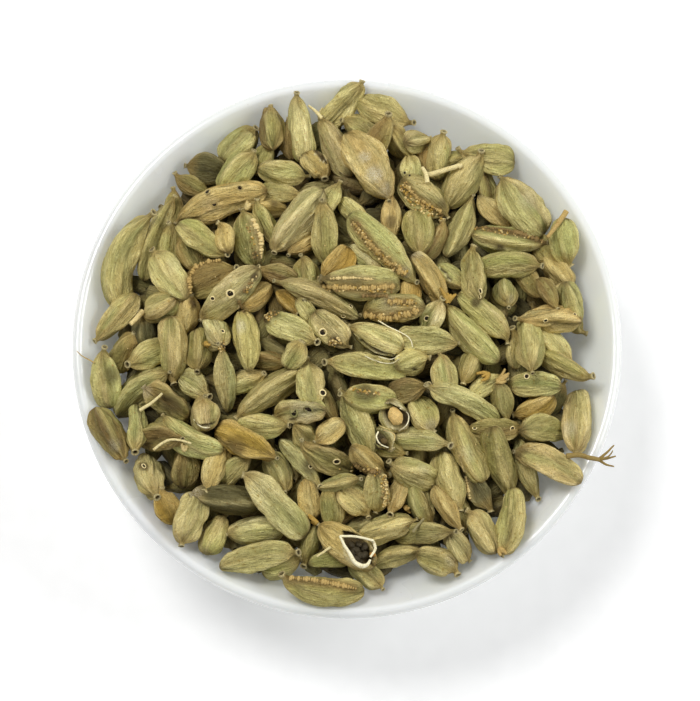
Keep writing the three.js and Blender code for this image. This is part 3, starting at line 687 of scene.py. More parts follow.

# %% [markdown]
# ## Pods under the ones that show
# Between the pods that show there are chinks, and on the real dish more pods lie in them. Small
# plain ones fill the chinks: a spiral that turns by the golden angle spreads them evenly, and a
# pod is left out where it would stick out past the edge of the heap. Their colours are darkened
# as painted shade, since they lie deep in the heap. Under them all lies a core in painted shade,
# so that no chink goes through to the floor of the dish.

# %% The edge of the heap, and the pods beneath
EDGE_PARTS = 48
EDGE_SHARE = 0.6


def edge_part(x, y):
    """Which part of the round of the heap's edge lies in this direction."""
    return int(EDGE_PARTS * (math.atan2(y, x) / math.tau + 1)) % EDGE_PARTS


reach_of_edge = [0.0] * EDGE_PARTS
for pod in pods:
    for share, fullness in TOUCH_STATIONS + END_STATIONS:
        x, y, _ = pod.middle(share)
        far = math.hypot(x, y) + EDGE_SHARE * pod.radius * fullness
        reach_of_edge[edge_part(x, y)] = max(reach_of_edge[edge_part(x, y)], far)


def edge_near(x, y):
    """The least reach of the heap's edge on three parts of its round, about this direction."""
    return min(reach_of_edge[(edge_part(x, y) + k) % EDGE_PARTS] for k in (-1, 0, 1))


GOLDEN_ANGLE = math.radians(137.508)
BENEATH_COUNT = 420
BENEATH_REACH = 53.0
BENEATH_LENGTH = 10.0
BENEATH_WIDTH = 5.4
BENEATH_DEPTH = 5.2
BENEATH_INSET = 1.6
# Pods beneath keep this share of their colour, as painted shade for lying deep in the heap.
BENEATH_SHADE = 0.62
LEVEL_FROM = 30
chance = random.Random(41)
beneath = []
for index in range(BENEATH_COUNT):
    out = BENEATH_REACH * math.sqrt((index + 0.5) / BENEATH_COUNT)
    turn = index * GOLDEN_ANGLE
    x, y = out * math.cos(turn), out * math.sin(turn)
    if out + BENEATH_WIDTH / 2 > edge_near(x, y) - BENEATH_INSET:
        continue
    tone = chance.choice(["olive", "dark", "brown", "olive", "brown", "dark"])
    pod = Pod((x, y, chance.uniform(0, 360), BENEATH_LENGTH * chance.uniform(0.8, 1.15),
               BENEATH_WIDTH * chance.uniform(0.8, 1.1), 0, "slim", tone), -1)
    pod.shade = BENEATH_SHADE
    pod.height = max(heap_surface(x, y) - BENEATH_DEPTH - pod.radius + chance.uniform(-0.8, 0.4),
                     height_on_wall(x, y, pod.radius))
    pod.slope = chance.uniform(-0.35, 0.35) if out < LEVEL_FROM else 0.0
    beneath.append(pod)
print("pods beneath:", len(beneath))

# %% [markdown]
# ## The form of a pod
# A dried pod is a long capsule with three blunt edges. It is fullest a little before the middle,
# has a small blunt beak at one end and narrows at the other to a neck that carries the ring of
# the broken stem. Drying leaves fine ribs from end to end, a seam on each edge, and dents.
# The form is worked out for a whole pod at once with array maths: first how full it is along
# its length, then how three-sided across it, and then ribs, seams, dents and creases on top.

# %% Kinds of pod, and helpers for waves and steps
# Powers of the outline towards beak and stem and how blunt it is, each the least and the most,
# then how far edges, ribs and creases stand out.
FORMS = {
    kind: dict(zip(("nose", "tail", "blunt", "edge", "rib", "crease"), row)) for kind, row in {
        "plump": ((0.38, 0.55), (0.46, 0.76), (2.1, 3.2), 0.16, 0.055, 0.46),
        "slim": ((0.46, 0.75), (0.60, 0.95), (2.0, 2.8), 0.17, 0.055, 0.42),
        "squat": ((0.40, 0.50), (0.42, 0.60), (2.0, 2.6), 0.18, 0.080, 0.52),
        "wrinkled": ((0.40, 0.60), (0.50, 0.85), (2.1, 3.0), 0.20, 0.140, 0.85),
        "beaded": ((0.40, 0.55), (0.50, 0.80), (2.1, 3.0), 0.15, 0.060, 0.40),
        "open": ((0.42, 0.55), (0.52, 0.80), (2.1, 3.0), 0.12, 0.055, 0.34),
    }.items()
}


def smooth(value, low, high):
    """Runs from 0 to 1 without a corner as value runs from low to high."""
    share = np.clip((value - low) / (high - low), 0, 1)
    return share * share * (3 - 2 * share)


def bell(away, wide):
    """1 in the middle, and near 0 from twice the width."""
    return np.exp(-(away / wide) ** 2)


def turn_between(angle, at):
    return (angle - at + math.pi) % math.tau - math.pi


def lumps(points, size, seed):
    """Smooth noise from about -1 to 1 at points in mm, made of a few crossed waves."""
    draw = np.random.default_rng(seed)
    total = np.zeros(points.shape[:-1])
    for _ in range(6):
        way = draw.normal(size=3)
        way *= draw.uniform(0.7, 1.5) * math.tau / size / np.linalg.norm(way)
        total += np.sin(points @ way + draw.uniform(0, math.tau))
    return total / 3.2


print("kinds of pod:", ", ".join(FORMS))

# %% [markdown]
# Along its length a pod is a husk, a neck with a ring at the stem and a small beak. Each is a
# radius in mm at every ring, and they are joined softly further on.

# %% How full a pod is along its length
NECK_RADIUS = 0.50
NECK_SIZES = [0.7, 0.9, 1.05, 1.25]
COLLAR_RADIUS = 0.72
COLLAR_LONG = 0.30
BEAK_RADIUS = 0.34
BEAK_SIZES = [0.4, 1.0]
FULLEST = (-0.12, 0.04)
NECK_LONG = (0.4, 1.4)


def radius_along(pod, along, draw):
    """Radius in mm of the husk, the neck and the beak at each ring, and where it is fullest."""
    form = FORMS[pod.kind]
    half = pod.length / 2
    fullest = draw.uniform(*FULLEST) * pod.length
    neck_long = draw.uniform(*NECK_LONG) * min(1.0, pod.length / 11)
    to_nose = np.clip((fullest - along) / (fullest + half), 0, 1)
    to_tail = np.clip((along - fullest) / (half - 0.8 * neck_long - fullest), 0, 1)
    body = np.where(
        along < fullest,
        (1 - to_nose ** draw.uniform(*form["blunt"])) ** draw.uniform(*form["nose"]),
        (1 - to_tail ** (0.88 * draw.uniform(*form["blunt"]))) ** draw.uniform(*form["tail"]),
    ) * pod.radius
    from_stem, from_nose = half - along, along + half
    collar = (COLLAR_RADIUS - NECK_RADIUS) * bell(from_stem, COLLAR_LONG)
    neck = draw.choice(NECK_SIZES) * (NECK_RADIUS + collar)
    neck = neck * (1 - 0.12 * bell(from_stem, 0.06)) * (1 - smooth(from_stem, 2.5, 5))
    beak = draw.choice(BEAK_SIZES) * BEAK_RADIUS * (1 - smooth(from_nose, 0.5, 2))
    return body, neck, beak * smooth(from_nose, -0.1, 0.25), fullest


# %% [markdown]
# Across, the blunt edges are a wave that goes round three times, sharpened by one that goes
# round six times. It is scaled so that a pod is as wide as its row says, from above.

# %% How three-sided a pod is across
def share_across(pod, along, angle, draw):
    """Share of the radius on every side, the turn and bow of the edges, and the lean to one side."""
    roll = draw.uniform(0, math.tau)
    edge = FORMS[pod.kind]["edge"] * draw.uniform(0.6, 1.4)
    bow = 0.25 * np.sin(along / pod.length * 3 + draw.uniform(0, 6))
    across = 1 + edge * (np.cos(3 * (angle - roll + bow)) + 0.36 * np.cos(6 * (angle - roll + bow)))
    across = across + draw.uniform(0.01, 0.06) * np.cos(2 * (angle - draw.uniform(0, 6)))
    middle_ring = across[len(across) // 2] * np.cos(angle[0])
    right, left = middle_ring.max(), -middle_ring.min()
    return across * 2 / (right + left), roll, bow, (right - left) / (right + left)


# %% [markdown]
# On top come ribs, which are weaker in the middle of the husk and stand out at both ends, where
# the fibres run together, a seam on each edge, creases from smooth noise, and a few dents.

# %% Ribs, seams, creases and dents
RIB_COUNTS = (9, 12)
SEAM_WIDE = 0.11
SEAM_HIGH, BEADED_SEAM_HIGH = 0.10, 0.20
CRUMPLE_SEED, FOLD_SEED, PUCKER_SEED = 70, 270, 470
DENT_COUNTS = (2, 5)


def on_grain(pod, along, angle, squeeze):
    """Places on a straight round rod in mm, squeezed along it, for noise that runs with the pod."""
    rod = [np.cos(angle) * pod.radius, np.sin(angle) * pod.radius, squeeze * along]
    return np.stack(np.broadcast_arrays(*rod), -1)


def relief_of(pod, along, angle, roll, bow, fullest, draw, number):
    """How far the husk stands up or sinks in mm at each ring and side, and how near a seam it is."""
    form = FORMS[pod.kind]
    ends = 0.45 + 0.75 * smooth(np.abs(along - fullest) / (pod.length / 2), 0.25, 0.8)
    rib_count = int(draw.integers(*RIB_COUNTS))
    wander = 1.6 * np.sin(2 * angle + draw.uniform(0, 6) + 0.12 * along)
    rib = np.cos(rib_count * angle + wander) + 0.6 * np.cos((rib_count + 5) * angle - wander)
    seam = sum(bell(turn_between(angle + bow, roll + k * math.tau / 3), SEAM_WIDE) for k in range(3))
    place = on_grain(pod, along, angle, 1)
    crumple = lumps(place * (1, 1, 0.45), 4.6, CRUMPLE_SEED + number)
    folds = lumps(place * (1.2, 1.2, 0.25), 2.6, FOLD_SEED + number)
    pucker = lumps(place * (1, 1, 0.55), 1.7, PUCKER_SEED + number)
    seam_high = BEADED_SEAM_HIGH if pod.kind == "beaded" else SEAM_HIGH
    bump = form["rib"] * ends * rib + seam_high * seam
    bump = bump + form["crease"] * (0.75 * crumple - 0.65 * np.abs(folds) + 0.22 * pucker)
    for _ in range(int(draw.integers(*DENT_COUNTS))):
        dent_along, dent_angle = draw.uniform(-0.32, 0.32) * pod.length, draw.uniform(0, math.tau)
        away = ((along - dent_along) / draw.uniform(0.9, 2.6)) ** 2
        away = away + (turn_between(angle, dent_angle) * pod.radius / draw.uniform(0.8, 1.5)) ** 2
        bump = bump - draw.uniform(0.15, 0.55) * np.exp(-away)
    return bump, seam


# %% [markdown]
# The parts come together here in one radius for every ring and every side. Adding third powers
# joins husk, neck and beak softly: the widest of them counts, and there is no corner between.


# %% Radius over the whole pod
RELIEF_AT_RADIUS = 3.1
LEAST_RADIUS = 0.05


def pod_radius(pod, along, angle, draw, number):
    """Radius in mm at each ring and side, seams, relief, and how far aside the form leans."""
    body, neck, beak, fullest = radius_along(pod, along, draw)
    across, roll, bow, off_middle = share_across(pod, along, angle, draw)
    bump, seam = relief_of(pod, along, angle, roll, bow, fullest, draw, number)
    husk_part = smooth(body, 0.3, 1.4)
    shaped = body * across + bump * husk_part * (pod.radius / RELIEF_AT_RADIUS)
    radius = (np.maximum(shaped, 0) ** 3 + neck ** 3 + beak ** 3) ** (1 / 3)
    relief = husk_part * (bump + 0.5 * pod.radius * (across - 1))
    return np.maximum(radius, LEAST_RADIUS), seam * husk_part, relief, off_middle


# %% The middle line of a pod
def pod_line(pod, along, draw):
    """Middle of each ring in mm, and the ways ahead, sidewards and upwards there."""
    half = pod.length / 2
    shares = along / pod.length
    ahead = np.array([*pod.ahead, pod.slope])
    left = np.array([-pod.ahead[1], pod.ahead[0], 0.0])
    up = np.array([0.0, 0.0, 1.0])
    bend = pod.bend + draw.normal() * 0.035 * pod.length
    aside = bend * (0.5 - 4 * shares ** 2)
    arch = draw.uniform(-0.015, 0.03) * pod.length * (0.5 - 4 * shares ** 2)
    bend_from = half - 2.2 * min(1.0, pod.length / 10)
    past = np.maximum(along - bend_from, 0)
    lift, swing = draw.uniform(-0.2, 1.0), draw.normal() * 0.4
    nod = past ** 2 / (2 * (half - bend_from))
    steer = past / (half - bend_from)
    middle = (np.array([pod.x, pod.y, pod.height]) + along[:, None] * ahead + aside[:, None] * left
              + (arch + nod * lift)[:, None] * up + (nod * swing)[:, None] * left)
    way = (ahead + left * ((-8 * bend * shares / pod.length) + steer * swing)[:, None]
           + up * (steer * lift)[:, None])
    way = way / np.linalg.norm(way, axis=1)[:, None]
    sidewards = np.cross(up, way)
    sidewards /= np.linalg.norm(sidewards, axis=1)[:, None]
    return middle, way, sidewards, np.cross(way, sidewards), np.linalg.norm(ahead)


# %% Skin of one pod
SHAPE_SEED = 900
CUP_SHARE = 0.62
CUP_DEPTH = 0.7
GRAIN_SQUEEZE = 0.16


def pod_skin(pod, rings, sides, number):
    """Points of one pod in mm, ring by ring: nose point, rings, cup of the stem, cup's middle."""
    draw = np.random.default_rng(SHAPE_SEED + number)
    half = pod.length / 2
    along = -half * np.cos(np.linspace(0, np.pi, rings - 1))[1:, None]
    angle = np.linspace(0, math.tau, sides, endpoint=False)[None, :]
    radius, seam, relief, off_middle = pod_radius(pod, along, angle, draw, number)
    plump_part = radius.mean(axis=1)
    lip = radius[-1].mean()
    along = np.concatenate([along[:, 0], [half - 0.03, half - CUP_DEPTH]])
    radius = np.concatenate([radius, [np.full(sides, lip * CUP_SHARE)], [np.full(sides, lip * 0.5)]])
    plump_part = np.concatenate([plump_part, plump_part[-1:], plump_part[-1:]])
    middle, way, sidewards, upwards, stretch = pod_line(pod, along, draw)
    middle = middle - sidewards * (off_middle * plump_part)[:, None]
    out_from_middle = (np.cos(angle)[..., None] * sidewards[:, None, :]
                       + np.sin(angle)[..., None] * upwards[:, None, :])
    points = middle[:, None, :] + radius[:, :, None] * out_from_middle
    nose = middle[0] - way[0] * radius[0].mean() * 0.4
    deep = middle[-1] - way[-1] * 0.1
    points = np.concatenate([[nose], points.reshape(-1, 3), [deep]])

    offset = draw.uniform(0, 400, 3)
    round_grain = on_grain(pod, along[:, None] * stretch, angle, GRAIN_SQUEEZE).reshape(-1, 3)
    ends = [[(0, 0, -GRAIN_SQUEEZE * half)], [(0, 0, GRAIN_SQUEEZE * half)]]
    grain = np.concatenate([ends[0], round_grain, ends[1]]) + offset
    inner = 2 * sides
    cover = dict(from_stem=np.concatenate([[pod.length], np.repeat(half - along, sides), [0.0]]),
                 from_nose=np.concatenate([[0], np.repeat(half + along, sides), [pod.length]]),
                 seam=np.concatenate([[0], seam.ravel(), np.zeros(inner + 1)]),
                 relief=np.concatenate([[0], relief.ravel(), np.zeros(inner + 1)]),
                 cup=np.concatenate([np.zeros(len(points) - 1 - inner), np.full(sides, 0.25),
                                     np.ones(sides + 1)]))
    return points, grain, cover


# %% [markdown]
# ## The colours of a pod
# Good pods are grey-green to straw, older ones tan, orange-brown or nearly black. Each pod gets
# a colour of its own and drifts towards a second one in patches along its grain. The neck and the
# beak are browner, the seams paler. Raised parts are painted lighter and dents and grooves darker,
# which is painted light and shade, and the pods beneath are darkened as painted shade. That goes
# into a colour on every point, which the finish reads and covers with finer streaks.

# %% Tones
TONES = {
    "green": (172, 167, 104), "olive": (154, 146, 86), "straw": (196, 178, 120),
    "pale": (214, 201, 143), "tan": (192, 165, 101), "orange": (170, 138, 62),
    "brown": (138, 116, 68), "dark": (94, 87, 52),
}
DRIFTS = {
    "green": "straw", "olive": "straw", "straw": "green", "pale": "green", "tan": "straw",
    "orange": "tan", "brown": "olive", "dark": "dark",
}
NECK_TONE = linear(182, 154, 92)
COLLAR_TONE = linear(230, 214, 162)
CUP_TONE = linear(96, 70, 22)
BEAK_TONE = linear(126, 100, 54)
SEAM_TONE = linear(214, 196, 138)
TONE_SEED, PATCH_SEED = 5000, 60
BRIGHTNESS = (0.91, 1.13)
STRAY = (0.02, 0.015, 0.05)
DARKEST, LIGHTEST = 0.004, 0.95


def over(below, above, share):
    """Paints a tone over others by a share for each point."""
    share = np.asarray(share)[:, None]
    return below * (1 - share) + np.array(above) * share


def pod_tone(pod, grain, cover, number):
    """The colour of every point of a pod, in linear light."""
    draw = np.random.default_rng(TONE_SEED + number)
    first = np.array(linear(*TONES[pod.tone]))
    second = np.array(linear(*TONES[DRIFTS[pod.tone]]))
    first = first * draw.uniform(*BRIGHTNESS) * (1 + draw.normal(size=3) * STRAY)
    patch = lumps(grain * (1, 1, 1.6), 6.0, PATCH_SEED + number)
    patch = patch + 0.5 * lumps(grain, 2.4, PATCH_SEED + 1 + number)
    tone = over(first[None, :], second, np.clip(0.30 + 0.50 * patch, 0, 1))
    # Painted light and shade: raised parts lighter, dents and grooves darker.
    tone = tone * np.clip(1 + 0.26 * cover["relief"], 0.7, 1.2)[:, None] ** (1, 1, 1.15)
    tone = over(tone, NECK_TONE, 0.6 * (1 - smooth(cover["from_stem"], 0.6, 4.0)))
    tone = over(tone, BEAK_TONE, 0.6 * (1 - smooth(cover["from_nose"], 0.1, 0.9)))
    tone = over(tone, SEAM_TONE, 0.35 * np.clip(cover["seam"], 0, 1))
    collar_share = draw.uniform(0.7, 1.0) * (1 - smooth(cover["from_stem"], 0.15, 0.5))
    tone = over(over(tone, COLLAR_TONE, collar_share), CUP_TONE, cover["cup"])
    # The shade share darkens pods deep in the heap as painted shade.
    return np.clip(tone * pod.shade, DARKEST, LIGHTEST)


print("tones of pods:", ", ".join(TONES))

# %% [markdown]
# ## The finish of the pods
# A dried husk is matt and fibrous. From near, thin pale and dark streaks run from beak to neck.
# The streaks come from noise on a grain of the pod's own: round the pod at full size and along it
# squeezed, so that the noise comes out long. Marks held on the points add three things that only
# some places have: brown crust, white bloom and painted shade, the dark of a hollow.

# %% Husk finish
husk, shader, places = new_finish("dried_husk")


def attribute(name, out):
    return Wire.place(places.tree, "ShaderNodeAttribute", {"attribute_name": name}, out=out)


METRE_IN_MM = 1000.0
AS_IT_IS = (1.0, 1.0, 1.0)
# The last of these tones is painted shade, for the deep of hollows such as the stem's cup.
CRUST_TONE, BLOOM_TONE, HOLLOW_SHADE_TONE = linear(92, 66, 32), linear(232, 223, 190), linear(24, 17, 8)
grain = attribute("grain", "Vector")
marks = Wire.place(places.tree, "ShaderNodeSeparateXYZ", None, {0: attribute("marks", "Vector")})
crust, bloom, hollow = [Wire(marks.tree, out) for out in marks.socket.node.outputs]
place_mm = places * METRE_IN_MM
streak = noise(grain, 0.85, 3.0, 0.6)
fibre = noise(grain, 3.0, 2.0, 0.55)
strand = noise(grain, 1.5, 1.0, 0.4)
above = Wire.place(places.tree, "ShaderNodeMath", {"operation": "ABSOLUTE"}, {0: strand - 0.5})
vein = above.steps(0.0, 0.030, 1.0, 0.0)
fleck = noise(place_mm, 1.2, 4.0, 0.68)
grit = noise(place_mm, 5.0, 2.0, 0.6)

husk_colour = attribute("tone", "Color") * (1.42, 1.43, 1.36)
for share, low, high in [
    (streak.steps(0.30, 0.70), (0.84, 0.83, 0.76), (1.10, 1.11, 1.14)),
    (fibre.steps(0.34, 0.52), (0.84, 0.82, 0.76), AS_IT_IS),
    (fibre.steps(0.54, 0.70), AS_IT_IS, (1.20, 1.22, 1.34)),
    (vein, AS_IT_IS, (1.10, 1.11, 1.20)),
    (fleck.steps(0.57, 0.69), AS_IT_IS, (0.74, 0.63, 0.42)),
    (fleck.steps(0.30, 0.42), (1.14, 1.15, 1.24), AS_IT_IS),
]:
    husk_colour = husk_colour * between(share, low, high)
husk_colour = husk_colour * grit.steps(0.3, 0.7, 0.80, 1.16)
husk_colour = husk_colour.blend(CRUST_TONE, crust * grit.steps(0.35, 0.6, 0.5, 1.0))
husk_colour = husk_colour.blend(BLOOM_TONE, bloom * grit.steps(0.38, 0.58))
relief = streak * 0.7 + fibre * 0.55 + vein * 0.10 + fleck * 0.35 + grit * 0.15 + crust * grit
dress(shader, {
    "Base Color": husk_colour.blend(HOLLOW_SHADE_TONE, hollow),
    "Roughness": fibre.steps(0.3, 0.7, 0.70, 0.50),
    "Normal": raised(relief, 0.0013),
    "IOR": 1.45,
})
print("husk nodes:", len(places.tree.nodes))

# %% [markdown]
# ## From arrays to pieces
# Pods of one kind become one mesh. Each pod is a closed skin with the same order of points, so
# the list of faces is worked out once and shifted for every pod. Its texture place is a tile of
# its own, around by along, which keeps an exported picture sharp and free of overlaps.


# %% Faces and tiles
TILE_SHARE = 0.94
TILE_INSET = 0.03


def skin_faces(rings, sides):
    """Faces and their tile corners for a nose point, rings of sides points and an end point."""
    faces, corners = [], []
    for side in range(sides):
        near, far = side, (side + 1) % sides
        faces.append((0, 1 + far, 1 + near))
        corners.append(((side + 0.5, 0), (side + 1, 1), (side, 1)))
        for ring in range(1, rings):
            low, high = 1 + (ring - 1) * sides, 1 + ring * sides
            faces.append((low + near, low + far, high + far, high + near))
            corners.append(((side, ring), (side + 1, ring), (side + 1, ring + 1), (side, ring + 1)))
        last = 1 + (rings - 1) * sides
        faces.append((last + near, last + far, 1 + rings * sides))
        corners.append(((side, rings), (side + 1, rings), (side + 0.5, rings + 1)))
    span = np.array([sides, rings + 1.0])
    return faces, np.array([c for corner in corners for c in corner]) / span


def joined_piece(name, skins, rings, sides, finish):
    """One mesh piece from skins of (points in mm, grain, tone, marks) of one order."""
    faces, corners = skin_faces(rings, sides)
    count = len(skins[0][0])
    mesh = bpy.data.meshes.new(name)
    points = np.concatenate([s[0] for s in skins]) * MM
    all_faces = [tuple(v + k * count for v in face) for k in range(len(skins)) for face in faces]
    mesh.from_pydata(points.tolist(), [], all_faces)
    for label, column in (("grain", 1), ("marks", 3)):
        values = np.concatenate([s[column] for s in skins])
        mesh.attributes.new(label, "FLOAT_VECTOR", "POINT").data.foreach_set("vector", values.ravel())
    tones = np.concatenate([s[2] for s in skins])
    tones = np.concatenate([tones, np.ones((len(tones), 1))], axis=1)
    mesh.attributes.new("tone", "FLOAT_COLOR", "POINT").data.foreach_set("color", tones.ravel())
    across = math.ceil(math.sqrt(len(skins)))
    flat = corners * TILE_SHARE + TILE_INSET
    tiles = np.concatenate([(flat + (k % across, k // across)) / across for k in range(len(skins))])
    mesh.uv_layers.new(name="OFBake").uv.foreach_set("vector", tiles.ravel())
    mesh.polygons.foreach_set("use_smooth", [True] * len(mesh.polygons))
    mesh.materials.append(finish)
    print(name, "has", len(skins), "pods and", len(mesh.polygons), "faces")
    return into_scene(name, mesh)

# %% [markdown]
# ## Making every pod
# Pods that show get forty sides and rings close at the ends, where the form changes most. The
# lowest ones get some two thirds of that, and the ones beneath a few dozen faces, as only a
# glimpse of each is seen.

# %% Skins of all pods
FINE = (36, 40)
MEDIUM = (22, 24)
COARSE = (7, 8)
UNDER_NUMBERS = 400
CUP_SHADE = 0.75


def skin_of(pod, size, number):
    """Points in mm, grain, tone and marks (crust, bloom, hollow, whose dark is painted shade) of one pod.
    """
    points, grain, cover = pod_skin(pod, size[0], size[1], number)
    marks = np.zeros((len(points), 3))
    # The deep of the stem's cup is darkened as painted shade.
    marks[:, 2] = cover["cup"] ** 4 * CUP_SHADE
    return [points, grain, pod_tone(pod, grain, cover, number), marks]


sizes = [MEDIUM if pod.level == 0 else FINE for pod in pods]
skins = [skin_of(pod, size, number) for number, (pod, size) in enumerate(zip(pods, sizes))]
under_skins = [skin_of(pod, COARSE, UNDER_NUMBERS + number) for number, pod in enumerate(beneath)]
print("points on the pods that show:", sum(len(s[0]) for s in skins))
first_along = skins[0][0] @ np.array([*pods[0].ahead, 0])
print("first pod: noted", pods[0].length, "mm long, its skin", round(float(np.ptp(first_along)), 1), "mm")

# %% [markdown]
# ## Small things are placed as they are seen
# Beads, holes and crusts were noted as places in the view from above. A ray from the camera
# through such a place finds the husk it lies on, and the direction that the husk faces there.
# That keeps every small thing on its pod, whatever height the resting rule gave the pod.

# %% A ray from the eye to the husks
UP = Vector((0, 0, 1))
CAMERA_RISE = math.radians(CAMERA_RISE_DEG)
CAMERA_AWAY = 600.0
WALL_STEP = 0.2
EYE = Vector((0, -CAMERA_AWAY * math.cos(CAMERA_RISE),
              RIM_HEIGHT + CAMERA_AWAY * math.sin(CAMERA_RISE)))
faces_of = {size: skin_faces(*size)[0] for size in (FINE, MEDIUM)}
all_points, all_faces, pod_of_face = [], [], []
for number, (skin, size) in enumerate(zip(skins, sizes)):
    start = len(all_points)
    all_points.extend(skin[0].tolist())
    all_faces.extend([tuple(v + start for v in face) for face in faces_of[size]])
    pod_of_face.extend([number] * len(faces_of[size]))
husk_tree = BVHTree.FromPolygons(all_points, all_faces)


def aim_at(x, y):
    """The way from the eye to a noted place."""
    y = y + read_sag(y)
    return (Vector((x, y, read_dome(x, y))) - EYE).normalized()


def seen_at(x, y):
    """Point, facing and pod number seen at a noted place; beside the heap, a point on the dish."""
    way = aim_at(x, y)
    point, facing, face, _ = husk_tree.ray_cast(EYE, way)
    if point is not None:
        return point, facing, pod_of_face[face]
    point = EYE + way * ((RIM_HEIGHT - EYE.z) / way.z)
    while point.xy.length < mouth_radius and point.z > inside_height(point.xy.length):
        point = point + way * WALL_STEP
    return point, UP, -1


def distance_from(number, point):
    """How far every point of a pod's skin is from a point, in mm."""
    return np.linalg.norm(skins[number][0] - np.array(point), axis=1)


print("faces a ray can meet:", len(all_faces))

# %% [markdown]
# ## Split pods
# A few husks have burst along a seam. The skin falls in to a hollow there and its torn edge
# stands up pale. The hollow is painted dark brown and darkest in its deep: partly the inside and
# seeds, partly painted shade. An oval round the noted place says where: inside it points sink
# along the facing of the husk, and just outside it they rise and turn pale.

# %% Openings: place, half length, half width, turn of the long side in degrees, depth
OPENINGS = [
    ((2.6, -46.0), 4.8, 2.8, -50, 2.8), ((10.6, -17.8), 4.4, 2.6, -42, 2.1),
    ((8.0, -22.6), 3.4, 2.0, -50, 1.8), ((-30.2, -18.8), 2.8, 0.32, -12, 0.5),
    ((6.6, -3.4), 6.2, 0.8, -20, 0.8),
    ((-5.9, 41.0), 2.3, 0.75, -48, 1.0), ((-9, 7.8), 1.0, 0.3, 20, 0.4),
    ((-11.5, -18.2), 1.3, 0.3, 5, 0.4), ((14.6, -7.3), 1.2, 0.35, -25, 0.5),
    ((41, 8.2), 1.2, 0.3, 60, 0.4), ((21.5, 14.2), 2.6, 0.35, -60, 0.4),
]
LIP_TONE = linear(222, 210, 168)
# Dark brown inside a split: partly its own colour and seeds, partly painted shade.
INSIDE_TONE = linear(80, 62, 30)
LIP_AT = 1.08
LIP_WIDE = 0.14
LIP_HIGH = 0.28
LONG_END = 0.98
for (x, y), long_half, wide_half, turn, depth in OPENINGS:
    point, facing, number = seen_at(x, y)
    skin = skins[number]
    long_way = Vector((math.cos(math.radians(turn)), math.sin(math.radians(turn)), 0))
    long_way = (long_way - facing * long_way.dot(facing)).normalized()
    wide_way = facing.cross(long_way)
    away = skin[0] - np.array(point)
    down = away @ np.array(long_way) / long_half
    wide_here = wide_half * np.maximum(1 - down ** 2, 0.04)
    past_end = np.maximum(np.abs(down) - LONG_END, 0)
    inside = np.abs(away @ np.array(wide_way)) / wide_here + 4 * past_end
    radius = pods[number].radius
    near_side = smooth(away @ np.array(facing), -radius * 0.9, -radius * 0.5)
    sink = (1 - smooth(inside, 0.55, 1.0)) * near_side
    lip = bell(inside - LIP_AT, LIP_WIDE) * near_side * (np.abs(down) < 0.97)
    skin[0] = skin[0] + np.array(facing) * (lip * LIP_HIGH - sink * depth)[:, None]
    # Inside the split the colour goes dark, partly its own and partly painted shade; the hollow mark adds
    # painted shade where it sinks deepest.
    skin[2] = over(over(skin[2], LIP_TONE, 0.85 * lip), INSIDE_TONE, 0.9 * sink)
    skin[3][:, 2] = np.maximum(skin[3][:, 2], 0.45 * sink ** 2)
print("openings:", len(OPENINGS))

# %% [markdown]
# ## Crust and bloom
# Some husks carry brown crumbly crust, others a white bloom. Each is a soft round patch on the
# points near a noted place, which the finish breaks up with fine grit.

# %% Patches: place, radius in mm and strength
CRUSTS = [
    (-44.2, -26.8, 1.5, 1.0), (-27, -1.5, 1.6, 1.0), (-2.5, -1.5, 1.9, 1.0), (28, 8, 1.5, 0.9),
    (-33.5, 8, 1.5, 0.9), (33.5, 20.7, 1.3, 0.8), (5.5, -47, 1.2, 0.9), (3, -29, 2.0, 0.9),
    (-12.5, 16.5, 1.6, 0.8), (4, -12.4, 3.2, 0.7), (-51.5, -6.3, 2.2, 0.5), (-7.8, -28.2, 2.4, 0.7),
    (21, 30, 1.6, 0.6), (13, 33, 2.0, 0.7), (1, 11, 4.0, 0.5), (-5, 13, 2.0, 0.6), (14, -38, 1.6, 0.5),
    (37.5, -24, 2.2, 0.5), (-38, -14, 3.5, 0.6), (-24, -23.5, 3.0, 0.5), (0.5, 37, 2.0, 0.4),
    (9.5, 25.5, 1.8, 0.6), (-20, 18, 1.6, 0.8), (-16, 30, 1.5, 0.6), (-6.5, -40, 2.2, 0.8),
    (-20, 13.2, 1.3, 0.8), (-21.8, 10.2, 1.5, 0.7), (-17.5, 4.2, 2.2, 1.0), (-18.3, 2.6, 1.6, 0.9),
    (-15.5, 5.2, 1.5, 0.8),
]
BLOOMS = [
    (6.2, 36.6, 2.6, 0.9), (3.9, 40.6, 1.8, 0.8), (8.6, 33, 2.2, 0.6), (-23.5, 2.5, 2.3, 0.7),
    (48.2, -18.5, 2.6, 0.5), (18.2, -19.5, 2.2, 0.5), (15, 18.5, 2.2, 0.45), (35.6, 9.2, 1.4, 0.4),
    (-33, -33, 2.2, 0.6), (-44, -10.5, 2.4, 0.5), (22.5, -48, 1.8, 0.45), (-9.2, -16.2, 4.0, 0.45),
    (9, 6.5, 2.6, 0.3), (-30, 30.5, 3.0, 0.25), (40, 32, 3.2, 0.3), (-38, 17, 2.6, 0.25),
    (26, -25, 2.6, 0.3), (12.5, 14, 1.8, 0.4), (-51, -22, 2.0, 0.4), (16.5, -28.5, 2.0, 0.3),
]
for column, patches in ((0, CRUSTS), (1, BLOOMS)):
    for x, y, size, strength in patches:
        point, _, number = seen_at(x, y)
        if number < 0:
            continue
        here = strength * (1 - smooth(distance_from(number, point), size * 0.35, size * 1.1))
        skins[number][3][:, column] = np.maximum(skins[number][3][:, column], here)
print("patches:", len(CRUSTS) + len(BLOOMS))

# %% [markdown]
# ## Beaded ridges
# Where a seam has dried hard, it stands up as a crest of little beads, like a zip. Each crest is a
# path of noted places. Beads are what Geometry Nodes are good at: the path becomes a curve, it is
# cut to equal steps, and a small rough stone is set on every step, larger or smaller by chance.

